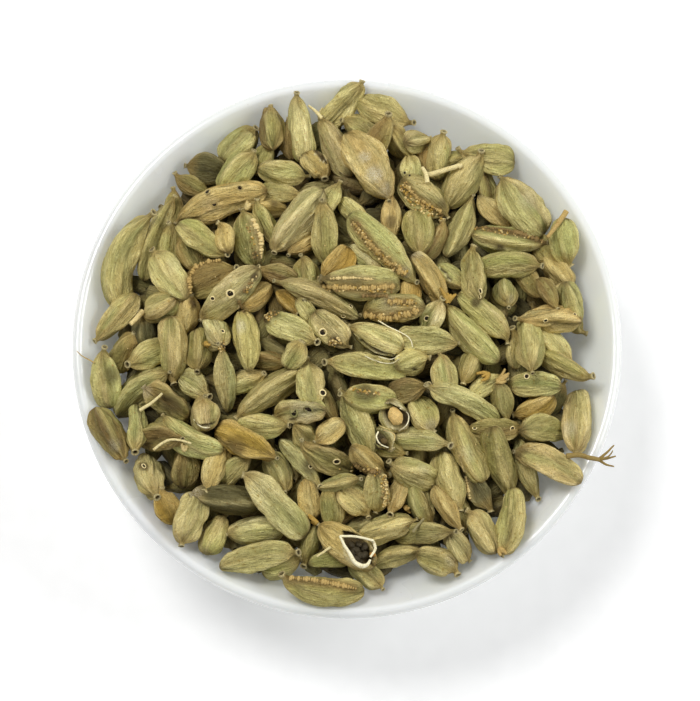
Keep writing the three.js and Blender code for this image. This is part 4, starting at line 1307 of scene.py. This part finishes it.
# %% Noted places for a tree
class Places:
    """Points with a tone, a width in mm and a facing each, for a tree to set things on."""

    def __init__(self):
        self.points, self.edges, self.tones, self.widths, self.facings = [], [], [], [], []

    def add(self, point, tone_here, width, facing=UP, follows=False):
        """Adds a point in mm; one that follows is joined to the point before it."""
        if follows:
            self.edges.append((len(self.points) - 1, len(self.points)))
        self.points.append(tuple(point * MM))
        self.tones.append((*tone_here, 1))
        self.widths.append(width * MM)
        self.facings.append(tuple(facing))

    def mesh(self, name):
        mesh = bpy.data.meshes.new(name)
        mesh.from_pydata(self.points, self.edges, [])
        for label, kind, key, column in (("tone", "FLOAT_COLOR", "color", self.tones),
                                         ("wide", "FLOAT", "value", self.widths),
                                         ("facing", "FLOAT_VECTOR", "vector", self.facings)):
            store = mesh.attributes.new(label, kind, "POINT").data
            store.foreach_set(key, np.array(column).ravel())
        return mesh


# %% Paths of the ridges, with width across in mm
CREAM, SAND, RUST = linear(206, 184, 126), linear(174, 147, 88), linear(128, 104, 60)
RIDGES = [
    ([(-27, 17.3), (-30.5, 17.2), (-33.2, 16.2), (-34.5, 13.5), (-34, 10)], 1.3, SAND),
    ([(-20.5, 26), (-18.7, 22), (-18.7, 17.2)], 1.5, CREAM),
    ([(-3.5, 12.4), (1.5, 12.6), (6, 12.2)], 0.8, CREAM),
    ([(-5, 10.6), (3, 10.2), (10.6, 10.8)], 1.3, SAND),
    ([(3.5, 8.6), (9, 8.6)], 1.0, RUST),
    ([(4.1, 4.4), (9.3, 3.6), (13.6, 4.9), (15.7, 5.8)], 1.6, SAND),
    ([(9, 7.4), (14.5, 7.3)], 1.2, SAND),
    ([(28, 24.7), (33, 25), (38, 24.3), (44, 22.6)], 1.2, RUST),
    ([(12.6, 34.6), (15.4, 31), (20.8, 28)], 0.9, SAND),
    ([(-12, -52), (-8, -52.3), (-3.3, -53.2), (2.2, -54.4)], 1.3, SAND),
    ([(8.2, -30.5), (8.5, -33.5), (8, -36.5)], 1.0, CREAM),
    ([(1.5, -27.8), (4, -29.2), (7.4, -29.4)], 1.2, RUST),
    ([(1.4, 25.2), (4.2, 21.4), (7.6, 17.6), (10.4, 14.6), (13, 13.6)], 1.5, SAND),
    ([(24.2, -25.5), (25.6, -30), (26.6, -35)], 0.7, CREAM),
    ([(-22.5, 5.6), (-23.6, 8.5)], 0.8, RUST),
]
STEP_BETWEEN = 0.4
RIDGE_GAP = 1.5
RIDGE_LIFT = 0.06
ridge = Places()
for path, bead, tone_here in RIDGES:
    previous = None
    for (x0, y0), (x1, y1) in zip(path, path[1:]):
        steps = max(2, int(math.hypot(x1 - x0, y1 - y0) / STEP_BETWEEN))
        for step in range(steps):
            part = step / steps
            point, facing, number = seen_at(x0 + (x1 - x0) * part, y0 + (y1 - y0) * part)
            if number < 0:
                previous = None
                continue
            near = bell(distance_from(number, point), bead * 0.8)
            skins[number][2] = over(skins[number][2], tone_here, 0.5 * near)
            skins[number][3][:, 0] = np.maximum(skins[number][3][:, 0], 0.5 * near)
            follows = previous is not None and (point - previous).length <= RIDGE_GAP
            ridge.add(point + facing * bead * RIDGE_LIFT, tone_here, bead, facing, follows)
            previous = point
print("places along ridges:", len(ridge.points))

# %% Beads along the ridges
beader = Grower("beads_on_a_ridge", {"Spacing": 0.44, "Along": 0.62, "Tall": 0.6, "Least": 0.36,
                                     "Most": 1.25, "Seed": 7})
line = beader.node("GeometryNodeMeshToCurve", None, {"Mesh": beader.shape})
across_size = beader.carried("wide")
stepped = beader.node("GeometryNodeResampleCurve", {"mode": "LENGTH"},
                      {"Curve": line, "Length": across_size * beader.size("Spacing")})
stone = beader.node("GeometryNodeMeshUVSphere", None, {"Radius": 0.5, "Segments": 7, "Rings": 5})
squash = beader.node("ShaderNodeCombineXYZ", None,
                     {0: beader.size("Along"), 1: 1.0, 2: beader.size("Tall")})
stone = beader.node("GeometryNodeTransform", None, {"Geometry": stone, "Scale": squash})
chance_size = beader.node("FunctionNodeRandomValue", {"data_type": "FLOAT"}, {
    2: beader.size("Least"), 3: beader.size("Most"), "Seed": beader.size("Seed")}, out=1)
heading = beader.node("FunctionNodeAlignRotationToVector", {"axis": "X"},
                      {"Vector": beader.node("GeometryNodeInputTangent")})
upright = beader.node("FunctionNodeAlignRotationToVector", {"axis": "Z", "pivot_axis": "X"},
                      {"Rotation": heading, "Vector": beader.carried("facing", "FLOAT_VECTOR")})
set_on = beader.node("GeometryNodeInstanceOnPoints", None, {
    "Points": stepped, "Instance": stone, "Rotation": upright, "Scale": chance_size * across_size})
beader.end(set_on, husk)
beads = beader.grow("seam_beads", ridge.mesh("ridge_paths"))

# %% [markdown]
# ## Holes
# Insects bore round holes in cardamom. Each has a pale raised rim and a dark bottom, whose dark
# is painted shade. The tree sets one small ring and one cup in painted shade on every noted point,
# turned to the facing of the husk.

# %% Holes: place and radius in mm; those with a pale rim, and plain bores
RIMMED_HOLES = [
    (-25.3, 9.7, 0.85), (-29.2, 8.8, 0.5), (-44.2, -26.8, 0.5), (-27, 1.5, 0.55), (0.8, 6.3, 0.5),
    (-0.8, 4.1, 0.45), (-5.2, 0.6, 0.8), (-2.2, -27.2, 0.75), (-7.8, -28.2, 0.4), (35.8, -19.2, 0.5),
    (27.5, -19.5, 0.45), (43.4, 4.9, 0.5), (50, 6.8, 0.4), (29, 10.5, 0.6), (28.8, 9.3, 0.5),
    (-5.2, -12.5, 0.7), (39, -7.7, 0.55), (-27.6, 26.5, 0.5), (17.2, 3.9, 0.6),
]
PLAIN_HOLES = [
    (-29.2, 30.4, 0.62), (-23.6, 33.9, 0.55), (-30.8, 33.4, 0.65), (-11.4, -16.6, 1.0),
    (-8.3, -16.1, 1.0), (12.7, 37, 0.35), (13.8, 36.4, 0.3), (-25.2, 4.2, 0.35), (-23.8, 0.2, 0.3),
]
RIM_TONE = linear(222, 204, 150)
PLAIN_RIM_SHADE = 0.6
bores = Places()
for place in RIMMED_HOLES + PLAIN_HOLES:
    x, y, size = place
    point, facing, number = seen_at(x, y)
    if number < 0:
        continue
    husk_tone = skins[number][2][np.argmin(distance_from(number, point))]
    bores.add(point, RIM_TONE if place in RIMMED_HOLES else PLAIN_RIM_SHADE * husk_tone, size, facing)
print("holes:", len(bores.points))

# The cup of a hole is coloured dark as painted shade.
hole_shade, shader, places = new_finish("painted_shade_of_a_hole")
hole_shade_share = noise(places * METRE_IN_MM, 2.5).steps(0.3, 0.7)
dress(shader, {"Base Color": hole_shade_share * linear(52, 36, 14) + linear(22, 16, 8), "Roughness": 0.95})

# %% Rings and cups on the holes
borer = Grower("bored_holes", {"Rim": 0.24, "Sides": 14})
rim = borer.node("GeometryNodeCurveToMesh", None, {
    0: borer.circle(borer.size("Sides"), 1.0), "Profile Curve": borer.circle(6, borer.size("Rim"))})
cup = borer.node("GeometryNodeMeshCone", {"fill_type": "NGON"}, {
    "Vertices": borer.size("Sides"), "Radius Top": 0.95, "Radius Bottom": 0.55, "Depth": 0.22})
cup = borer.node("GeometryNodeTransform", None, {"Geometry": cup, "Translation": (0, 0, -0.2)})
both = borer.node("GeometryNodeJoinGeometry")
Wire.feed(both.socket.node, 0, borer.finished(rim, husk))
Wire.feed(both.socket.node, 0, borer.finished(cup, hole_shade))
turned_to = borer.node("FunctionNodeAlignRotationToVector", {"axis": "Z"},
                       {"Vector": borer.carried("facing", "FLOAT_VECTOR")})
drilled = borer.node("GeometryNodeInstanceOnPoints", None, {
    "Points": borer.shape, "Instance": both, "Rotation": turned_to, "Scale": borer.carried("wide")})
drilled = borer.node("GeometryNodeRealizeInstances", None, {0: drilled})
borer.end(borer.node("GeometryNodeSetShadeSmooth", None, {0: drilled}))
holes = borer.grow("insect_holes", bores.mesh("hole_places"))

# %% [markdown]
# ## Stalks, torn lips and tufts
# Bits of stalk lie on the pods, dry flower ends stick up as tufts, and the split pods have thin
# pale edges. All of them are strands: a path, a thickness that runs out towards the tip and a
# colour. A thin one follows the husks, and one over half a millimetre thick is stiff and spans
# the dips between pods. One tree makes tubes of them, with a slight waver.

# %% Strands: places with a lift over the husk in mm, then both thicknesses and the colour
PALE_STEM, TAN_STEM, GREY_STEM = linear(212, 196, 142), linear(172, 144, 84), linear(130, 120, 82)
WHITE_LIP, OCHRE, STALK_BROWN = linear(228, 219, 184), linear(166, 134, 62), linear(134, 112, 58)
STRANDS = [
    ([(17.4, 36.6, 0.6), (18.6, 36.7, 0.7), (21.6, 37.8, 0.9), (24.8, 39.1, 0.9)], 1.3, 1.1, PALE_STEM),
    ([(17.7, 34.6, 0.6), (17.4, 36.6, 0.8), (16.6, 38.2, 0.7)], 1.1, 0.8, PALE_STEM),
    ([(24.6, 38.9, 0.9), (25.5, 39.3, 0.9)], 1.3, 0.9, PALE_STEM),
    ([(44.2, 23.7, 0.8), (46.2, 26.4, 0.9), (48.8, 30.3, 0.8)], 0.8, 1.25, TAN_STEM),
    ([(-45, -14.8, 0.8), (-42.4, -13.4, 0.9), (-40, -11.5, 0.8)], 0.8, 0.55, PALE_STEM),
    ([(-42, -23.5, 0.6), (-39, -21.8, 0.8), (-36.2, -21.8, 0.8), (-33.6, -22.7, 0.7)],
     0.6, 0.45, PALE_STEM),
    ([(16.6, -39.2, 0.4), (15.3, -40.6, 0.5), (14.2, -42.1, 0.5)], 0.5, 0.7, GREY_STEM),
    ([(-3.5, -45.5, 0.6), (-6.5, -47.5, 0.7)], 0.6, 0.4, PALE_STEM),
    ([(-6, -5, 0.5), (-5.4, -3.6, 0.7), (-4.5, -2.3, 0.5)], 0.85, 0.7, GREY_STEM),
    ([(-44.6, 7, 0.4), (-46, 5.6, 0.6), (-47.4, 4.3, 0.5)], 1.3, 0.9, CREAM),
    ([(47.8, -24.6, 0.8), (50.5, -24.2, 1.2), (53, -24.7, 1.6), (55.2, -25, 2.0)],
     1.25, 0.95, STALK_BROWN),
    ([(55, -25, 2.0), (56.8, -23.4, 2.4), (58.5, -21.6, 2.2)], 0.75, 0.3, STALK_BROWN),
    ([(55, -25, 2.0), (57, -24.6, 2.0), (58.9, -24, 2.4)], 0.75, 0.3, STALK_BROWN),
    ([(55, -25, 1.9), (56.8, -25.9, 1.6), (58.6, -26.2, 1.8)], 0.7, 0.3, STALK_BROWN),
    ([(55.4, -25, 2.0), (57.2, -24.2, 2.6), (58.2, -22.9, 2.8)], 0.5, 0.25, STALK_BROWN),
    ([(-59.5, -0.6, 1.0), (-58, -2, 0.9), (-55.5, -3.5, 0.6)], 0.16, 0.3, TAN_STEM),
    ([(-50, -5.3, 0.5), (-51.4, -4.4, 0.6)], 0.4, 0.25, TAN_STEM),
    ([(-5.6, 50.2, 0.5), (-7, 51.8, 0.8), (-8.6, 53.4, 0.6)], 0.9, 0.5, PALE_STEM),
    ([(-6.4, 51.2, 0.5), (-5.4, 52.8, 0.6)], 0.6, 0.3, PALE_STEM),
    ([(6.7, 3.1, 0.4), (9.3, 1.6, 0.6), (12.4, 0.1, 0.6), (13.7, -1.1, 0.6), (14.1, -2.5, 0.4)],
     0.3, 0.22, WHITE_LIP),
    ([(3.2, -2.4, 0.4), (4.6, -3.8, 0.5), (6.9, -4.8, 0.5), (9.4, -5.3, 0.5), (11.2, -4.4, 0.3)],
     0.3, 0.22, WHITE_LIP),
    ([(2.6, -2.8, 0.3), (3.9, -4.6, 0.4), (6.6, -5.8, 0.4), (9.4, -6.2, 0.4), (11.2, -5.2, 0.3)],
     0.24, 0.2, WHITE_LIP),
    ([(11.4, -15.8, 0.4), (13.1, -17, 0.5), (12.9, -19.2, 0.5), (11.2, -20.6, 0.4)],
     0.24, 0.3, WHITE_LIP),
    ([(6, -17.9, 0.3), (7.1, -19.6, 0.4), (9.6, -20.5, 0.4)], 0.3, 0.2, CREAM),
    ([(6.7, -20.9, 0.3), (6.3, -22, 0.4), (7.1, -23.5, 0.4), (8.8, -24.2, 0.4)], 0.4, 0.26, WHITE_LIP),
    ([(7.8, -20.5, 0.3), (10.1, -21.3, 0.4), (10.1, -22.8, 0.4)], 0.2, 0.26, CREAM),
    ([(-33, -17.4, 0.2), (-31.6, -19.0, 0.25), (-29.6, -19.3, 0.25), (-27.6, -18.4, 0.2)],
     0.3, 0.2, WHITE_LIP),
    ([(-1.5, -43.1, 0.4), (2.2, -43.3, 0.6), (5.5, -44.1, 0.5)], 0.5, 0.6, WHITE_LIP),
    ([(-1.5, -43.1, 0.4), (-0.6, -45, 0.6), (0.5, -46.8, 0.6), (1.7, -48.8, 0.5), (3.2, -49.6, 0.5)],
     0.5, 1.1, WHITE_LIP),
    ([(3.2, -49.6, 0.5), (4.4, -49.2, 0.5), (5, -48.2, 0.4)], 1.0, 0.5, WHITE_LIP),
    ([(5.5, -44.1, 0.5), (6.1, -45.8, 0.4), (5, -47.6, 0.3)], 0.75, 0.5, WHITE_LIP),
]

# %% [markdown]
# A tuft is a fan of short strands from one place. Its prongs differ by chance in their turn and
# reach, since an even fan would look like a crown.

# %% Tufts: place, heading of the middle prong in degrees, prongs, their length and colour
TUFTS = [
    (21.8, 7.6, 80, 4, 3.6, OCHRE), (32.4, -9.2, 30, 4, 3.4, SAND), (33.2, -45.2, -60, 4, 1.6, TAN_STEM),
    (-6.5, -40.3, 150, 3, 2.2, OCHRE), (30.5, -7.8, -150, 3, 2.6, OCHRE), (-22, 29, 60, 3, 1.6, CREAM),
    (12.6, -36.8, -30, 3, 1.6, TAN_STEM), (-30.5, -1, -60, 3, 1.4, OCHRE),
    (-35.2, -23.8, 90, 3, 1.3, CREAM),
]
PRONG_SPREAD = 22
PRONG_STRAY = 9
PRONG_BEND = 0.4
PRONG_ENDS = (1.15, 0.5)
for x, y, heading, prongs, long_prong, tone_here in TUFTS:
    for prong in range(prongs):
        fan = (prong - (prongs - 1) / 2) * PRONG_SPREAD + chance.uniform(-PRONG_STRAY, PRONG_STRAY)
        turn = math.radians(heading + fan)
        reach = long_prong * chance.uniform(0.45, 1.1)
        half_way = (x + 0.5 * reach * math.cos(turn) + chance.uniform(-PRONG_BEND, PRONG_BEND),
                    y + 0.5 * reach * math.sin(turn) + chance.uniform(-PRONG_BEND, PRONG_BEND), 0.7)
        tip = (x + reach * math.cos(turn), y + reach * math.sin(turn), 0.9)
        STRANDS.append(([(x, y, 0.2), half_way, tip], *PRONG_ENDS, tone_here))
print("strands:", len(STRANDS))

# %% Where strands lie
STIFF_FROM = 0.5
STEEPEST_STALK = 0.3
HEIGHTS_A_LEG = 5


def resting_line(path):
    """Heights of both ends of a stiff stalk, and how much it is lifted to clear what it spans."""
    legs = [(Vector(a[:2]), Vector(b[:2])) for a, b in zip(path, path[1:])]
    spots = [a.lerp(b, k / HEIGHTS_A_LEG) for a, b in legs for k in range(HEIGHTS_A_LEG)]
    spots.append(legs[-1][1])
    heights = [seen_at(spot.x, spot.y)[0].z for spot in spots]
    fall = STEEPEST_STALK * (spots[-1] - spots[0]).length
    start, end = max(heights[0], heights[-1] - fall), max(heights[-1], heights[0] - fall)
    return start, end, max(height - start - (end - start) * k / (len(spots) - 1)
                           for k, height in enumerate(heights))


lines = Places()
for path, first_width, last_width, tone_here in STRANDS:
    start, end, clear = resting_line(path)
    for step, (x, y, lift) in enumerate(path):
        point = seen_at(x, y)[0]
        part = step / (len(path) - 1)
        if first_width >= STIFF_FROM:
            way = aim_at(x, y)
            point = EYE + way * ((start + (end - start) * part + clear - EYE.z) / way.z)
        radius = (first_width + (last_width - first_width) * part) / 2
        lines.add(point + UP * lift, tone_here, radius, follows=step > 0)
print("points on strands:", len(lines.points))

# %% Tubes along the strands
MIDDLE_OF_NOISE = (0.5, 0.5, 0.5)
spinner = Grower("strands", {"Step": 0.00035, "Waver": 0.00022, "Waver Scale": 600.0, "Sides": 8})
line = spinner.node("GeometryNodeMeshToCurve", None, {"Mesh": spinner.shape})
soft = spinner.node("GeometryNodeCurveSplineType", {"spline_type": "CATMULL_ROM"}, {"Curve": line})
stepped = spinner.node("GeometryNodeResampleCurve", {"mode": "LENGTH"},
                       {"Curve": soft, "Length": spinner.size("Step")})
waver = spinner.node("ShaderNodeTexNoise", None, {
    "Vector": spinner.node("GeometryNodeInputPosition"), "Scale": spinner.size("Waver Scale")}, out=1)
moved = spinner.node("GeometryNodeSetPosition", None, {
    "Geometry": stepped, "Offset": (waver - MIDDLE_OF_NOISE) * spinner.size("Waver")})
tube = spinner.node("GeometryNodeCurveToMesh", None, {
    "Curve": moved, "Profile Curve": spinner.circle(spinner.size("Sides"), 1.0),
    "Scale": spinner.carried("wide"), "Fill Caps": True})
spinner.end(tube, husk)
strands = spinner.grow("stalks_and_lips", lines.mesh("strand_paths"))

# %% [markdown]
# ## Seeds and crumbs
# The widest split shows its sticky dark seeds, and crumbs of husk lie about on the heap. Both are
# small rough stones again: seeds in a tight cluster, crumbs on noted and scattered places.

# %% Where seeds, kernels and crumbs lie
SEED_TONE, CRUMB_TONE, KERNEL_TONE = linear(52, 44, 26), linear(182, 152, 90), linear(200, 168, 104)
SEED_ROWS = [(3, -44.4), (3, -45.4), (3, -46.4), (3, -47.4), (2, -48.3)]
SEED_X, SEED_APART, SEED_STRAY, SEED_SIZE, SEED_SINK = 2.9, 1.35, 0.15, 1.9, 1.2
# Single stones: place, size, colour and how deep each is sunk.
SINGLE_STONES = [
    (10.3, -17.6, 4.2, KERNEL_TONE, 0.5), (8.1, -22.9, 1.7, linear(92, 74, 40), 0.4),
    (51.5, -4.3, 1.5, linear(48, 38, 22), 0), (5.5, -47, 1.4, linear(170, 118, 48), 0),
]
SMALL_CRUST = (4.6, -12.1, 0.7, linear(150, 112, 50))
# Crumbly edges: both ends, width of the band and number of crumbs.
CRUMBLY_EDGES = [
    ((12.2, 34.2), (15.2, 29.4), 2.3, 50), ((15.2, 29.4), (21.2, 26.6), 2.5, 70),
    ((8, -30), (8.4, -36.8), 1.8, 40), ((0.8, -28.4), (6.6, -29.6), 2.2, 40),
    ((-1.5, -1), (-3.6, -2.2), 1.6, 22), ((-27.2, -0.6), (-26.8, -3.2), 1.4, 18),
    ((-15, 5.6), (-18.6, 2.8), 1.6, 30), ((9, 7.6), (15, 7.0), 1.4, 30),
    ((-0.8, -11.4), (7.4, -12.9), 0.8, 34), ((-21.6, 25.6), (-19.8, 17.4), 1.0, 26),
    ((1.4, 25.2), (6, 18.8), 1.8, 46), ((6, 18.8), (12.6, 13.4), 1.9, 46),
    ((-5, 10.2), (10.6, 10), 1.3, 50), ((4.4, 3.6), (15.4, 5.2), 1.2, 30),
    ((28, 24.8), (43, 23), 1.0, 34), ((-19.4, 13.6), (-22.4, 9.8), 1.2, 16),
    ((-17, 5.8), (-18.6, 3), 1.4, 24),
]
EDGE_TONES = [SAND, RUST, CREAM, OCHRE]
DUST_TONES = [CRUMB_TONE, CREAM, RUST, TAN_STEM]
EDGE_CRUMB_SIZES, DUST_SIZES = (0.4, 0.95), (0.18, 0.5)
DUST_COUNT = 260
DUST_REACH = 50


def lay_stone(places, x, y, size, tone_here, sink=0.0):
    """Notes a stone on the husk that is seen at a place, if there is one."""
    point, facing, number = seen_at(x, y)
    if number >= 0:
        places.add(point - facing * sink, tone_here, size, facing)


seeds, crumbs = Places(), Places()
for count, y in SEED_ROWS:
    for k in range(count):
        aside = (k - (count - 1) / 2) * SEED_APART + chance.uniform(-SEED_STRAY, SEED_STRAY)
        lay_stone(seeds, SEED_X + aside, y, SEED_SIZE, SEED_TONE, SEED_SINK)
for stone in SINGLE_STONES:
    lay_stone(seeds, *stone)
lay_stone(crumbs, *SMALL_CRUST)
for (x0, y0), (x1, y1), band, count in CRUMBLY_EDGES:
    for _ in range(count):
        part, aside = chance.random(), chance.uniform(-band / 2, band / 2)
        long_edge = math.hypot(x1 - x0, y1 - y0)
        x = x0 + (x1 - x0) * part - aside * (y1 - y0) / long_edge
        y = y0 + (y1 - y0) * part + aside * (x1 - x0) / long_edge
        lay_stone(crumbs, x, y, chance.uniform(*EDGE_CRUMB_SIZES), EDGE_TONES[chance.randrange(4)])
for _ in range(DUST_COUNT):
    out, turn = DUST_REACH * math.sqrt(chance.random()), chance.uniform(0, math.tau)
    dust = DUST_TONES[chance.randrange(4)]
    lay_stone(crumbs, out * math.cos(turn), out * math.sin(turn), chance.uniform(*DUST_SIZES), dust)
print("seeds and kernels:", len(seeds.points), "crumbs:", len(crumbs.points))

# %% Rough stones on those places
pebbler = Grower("rough_stones", {"Roughness": 0.3, "Grain Scale": 700.0, "Seed": 3, "Fineness": 1})
ball = pebbler.node("GeometryNodeMeshIcoSphere", None,
                    {"Radius": 0.5, "Subdivisions": pebbler.size("Fineness")})
flat_ball = pebbler.node("GeometryNodeTransform", None, {"Geometry": ball, "Scale": (1.0, 0.8, 0.7)})
spin = pebbler.node("FunctionNodeRandomValue", {"data_type": "FLOAT_VECTOR"},
                    {0: (0, 0, 0), 1: (6.28, 6.28, 6.28), "Seed": pebbler.size("Seed")})
strewn = pebbler.node("GeometryNodeInstanceOnPoints", None, {
    "Points": pebbler.shape, "Instance": flat_ball, "Rotation": spin, "Scale": pebbler.carried("wide")})
solid = pebbler.node("GeometryNodeRealizeInstances", None, {0: strewn})
push = pebbler.node("ShaderNodeTexNoise", None, {
    "Vector": pebbler.node("GeometryNodeInputPosition"), "Scale": pebbler.size("Grain Scale")}, out=1)
rough_ball = pebbler.node("GeometryNodeSetPosition", None, {
    "Geometry": solid,
    "Offset": (push - MIDDLE_OF_NOISE) * (pebbler.size("Roughness") * pebbler.carried("wide"))})
pebbler.end(rough_ball, husk)
seed_piece = pebbler.grow("seeds_and_kernels", seeds.mesh("seed_places"),
                          {"Fineness": 2, "Roughness": 0.22})
crumb_piece = pebbler.grow("crumbs_of_husk", crumbs.mesh("crumb_places"))

# %% [markdown]
# ## Pieces by kind
# Everything that shares a form goes into one piece: three for the plump pods by colour, one each
# for the slim, squat, wrinkled, beaded and split ones, one for the lowest and one for those
# beneath.

# %% Joining the pods
def chosen(kind, tones=tuple(TONES)):
    return [skin for skin, pod in zip(skins, pods)
            if pod.level > 0 and pod.kind == kind and pod.tone in tones]


groups = {
    "pods_plump_green": chosen("plump", ["green"]),
    "pods_plump_olive": chosen("plump", ["olive", "pale"]),
    "pods_plump_straw": chosen("plump", ["straw", "tan", "brown", "dark"]),
    "pods_slim": chosen("slim"),
    "pods_squat": chosen("squat"),
    "pods_wrinkled": chosen("wrinkled"),
    "pods_beaded": chosen("beaded"),
    "pods_split": chosen("open"),
}
heap_pieces = [joined_piece(name, some, *FINE, husk) for name, some in groups.items()]
lowest = [skin for skin, pod in zip(skins, pods) if pod.level == 0]
heap_pieces.append(joined_piece("pods_lowest", lowest, *MEDIUM, husk))
heap_pieces.append(joined_piece("pods_beneath", under_skins, *COARSE, husk))

# %% [markdown]
# ## The core
# Under the pods the dish is full of more of the same, which nobody sees. A low dome stands for
# it, from just over the floor of the dish up to below the pods. Its dark brown is painted shade,
# the shade deep in a heap, so a chink ends in dark. Its edge keeps back from the edge of the pods.

# %% Dark core
CORE_SIDES = 48
CORE_RINGS = 8
CORE_BELOW = 9.0
CORE_INSET = 9.0
CORE_LIFT = 0.35
CORE_DROOP = 1.5
CORE_LEAST = 0.4
CORE_UNDER_SHARE = 0.985
turns = [side * math.tau / CORE_SIDES for side in range(CORE_SIDES)]
edges = [edge_near(math.cos(turn), math.sin(turn)) - CORE_INSET for turn in turns]


def core_ring(share, top):
    """One ring of the core at a share of its reach, over it or along the floor of the dish."""
    ring = []
    for turn, edge in zip(turns, edges):
        out = edge * share
        height = inside_height(out) + CORE_LIFT
        if top:
            dome = heap_surface(out, 0) - CORE_BELOW - CORE_DROOP * share ** 6
            height = max(dome, height + CORE_LEAST)
        ring.append((out * math.cos(turn), out * math.sin(turn), height))
    return ring


core_points = [(0, 0, heap_surface(0, 0) - CORE_BELOW)]
for ring in range(1, CORE_RINGS + 1):
    core_points += core_ring(ring / CORE_RINGS, True)
for ring in range(CORE_RINGS):
    core_points += core_ring((1 - ring / CORE_RINGS) * CORE_UNDER_SHARE, False)
core_points.append((0, 0, FLOOR_HEIGHT + CORE_LIFT))
core_mesh = bpy.data.meshes.new("core_of_heap")
core_mesh.from_pydata([tuple(c * MM for c in p) for p in core_points], [],
                      skin_faces(2 * CORE_RINGS, CORE_SIDES)[0])
face_outwards(core_mesh)

# The core's dark browns are painted shade, as deep inside a heap of pods.
core_shade, shader, places = new_finish("painted_shade_of_heap")
coarse = noise(places * METRE_IN_MM, 0.35, 3.0)
core_shade_colour = between(coarse.steps(0.45, 0.65), linear(34, 27, 14), linear(62, 50, 26))
dress(shader, {"Base Color": core_shade_colour, "Roughness": 0.9})
core_mesh.materials.append(core_shade)
core = into_scene("core_of_heap", core_mesh)
heap_pieces += [core, beads, holes, strands, seed_piece, crumb_piece]
print("core faces:", len(core_mesh.polygons))

# %% [markdown]
# ## What rides on what
# The dish takes the place of the CAD dish, and every piece of the heap the place of the CAD heap.
# All of it is one body, since nothing on a filled dish is jointed.

# %% Riding and replacing
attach(dish, "root")
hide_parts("dish")
for piece in heap_pieces:
    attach(piece, "root")
    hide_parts("cardamom_heap")
print("pieces of the heap:", len(heap_pieces))

# %% [markdown]
# ## Floor, light and camera
# The dish stands on a plain white floor. The light is a broad soft one from the far left, as
# from a window, with a weaker one from the right and a bright even sky, which is why shadows
# are short and soft. The camera looks down steeply from far off through a long lens, so the rim
# looks almost round.

# %% Floor
FLOOR_SIZE = 4.0
half = FLOOR_SIZE / 2
floor_mesh = bpy.data.meshes.new("pale_floor")
floor_mesh.from_pydata([(-half, -half, 0), (half, -half, 0), (half, half, 0), (-half, half, 0)],
                       [], [(0, 1, 2, 3)])
paper, shader, places = new_finish("pale_paper")
tooth = noise(places, 260.0)
paper_colour = between(tooth.steps(0.3, 0.7), linear(245, 245, 245), linear(249, 249, 249))
dress(shader, {"Base Color": paper_colour, "Roughness": 0.9,
               "Emission Color": (1, 1, 1, 1), "Emission Strength": 0.2})
floor_mesh.materials.append(paper)
into_scene("pale_floor", floor_mesh)
print("floor is", FLOOR_SIZE, "m wide")

# %% Lights
LIGHTS_AIM = Vector((0, 0, 0.03))
SKY_STRENGTH = 0.33


def soft_light(name, place, size, power, tint):
    """A round lamp in metres and watts that looks at the heap."""
    light = bpy.data.lights.new(name, "AREA")
    light.shape = "DISK"
    light.size = size
    light.energy = power
    light.color = tint
    lamp = into_scene(name, light)
    lamp.location = place
    lamp.rotation_euler = (LIGHTS_AIM - Vector(place)).to_track_quat("-Z", "Y").to_euler()
    print(name, "power", power)


soft_light("window_light", (-0.34, 0.34, 0.88), 0.4, 5.5, (1.0, 0.995, 0.985))
soft_light("far_light", (0.75, 0.1, 0.6), 0.5, 3.8, (0.98, 0.99, 1.0))
sky = bpy.data.worlds.new("bright_room")
bpy.context.scene.world = sky
sky.use_nodes = True
dress(sky.node_tree.nodes["Background"], {"Color": (1, 1, 1, 1), "Strength": SKY_STRENGTH})

# %% Camera
FOCAL_PX = 2750.0
PHOTO_LONG_SIDE = 701.0
SENSOR = 36.0
DISH_SHIFT_PX = (3.0, 7.6)
lens = bpy.data.cameras.new("photo_camera")
lens.sensor_width = SENSOR
lens.lens = FOCAL_PX * SENSOR / PHOTO_LONG_SIDE
lens.shift_x = DISH_SHIFT_PX[0] / PHOTO_LONG_SIDE
lens.shift_y = -DISH_SHIFT_PX[1] / PHOTO_LONG_SIDE
camera = into_scene("photo_camera", lens)
camera.location = EYE * MM
camera.rotation_euler = (math.pi / 2 - CAMERA_RISE, 0, 0)
bpy.context.scene.camera = camera
bpy.context.scene.view_settings.view_transform = "Standard"
print("lens", round(lens.lens, 1), "mm")
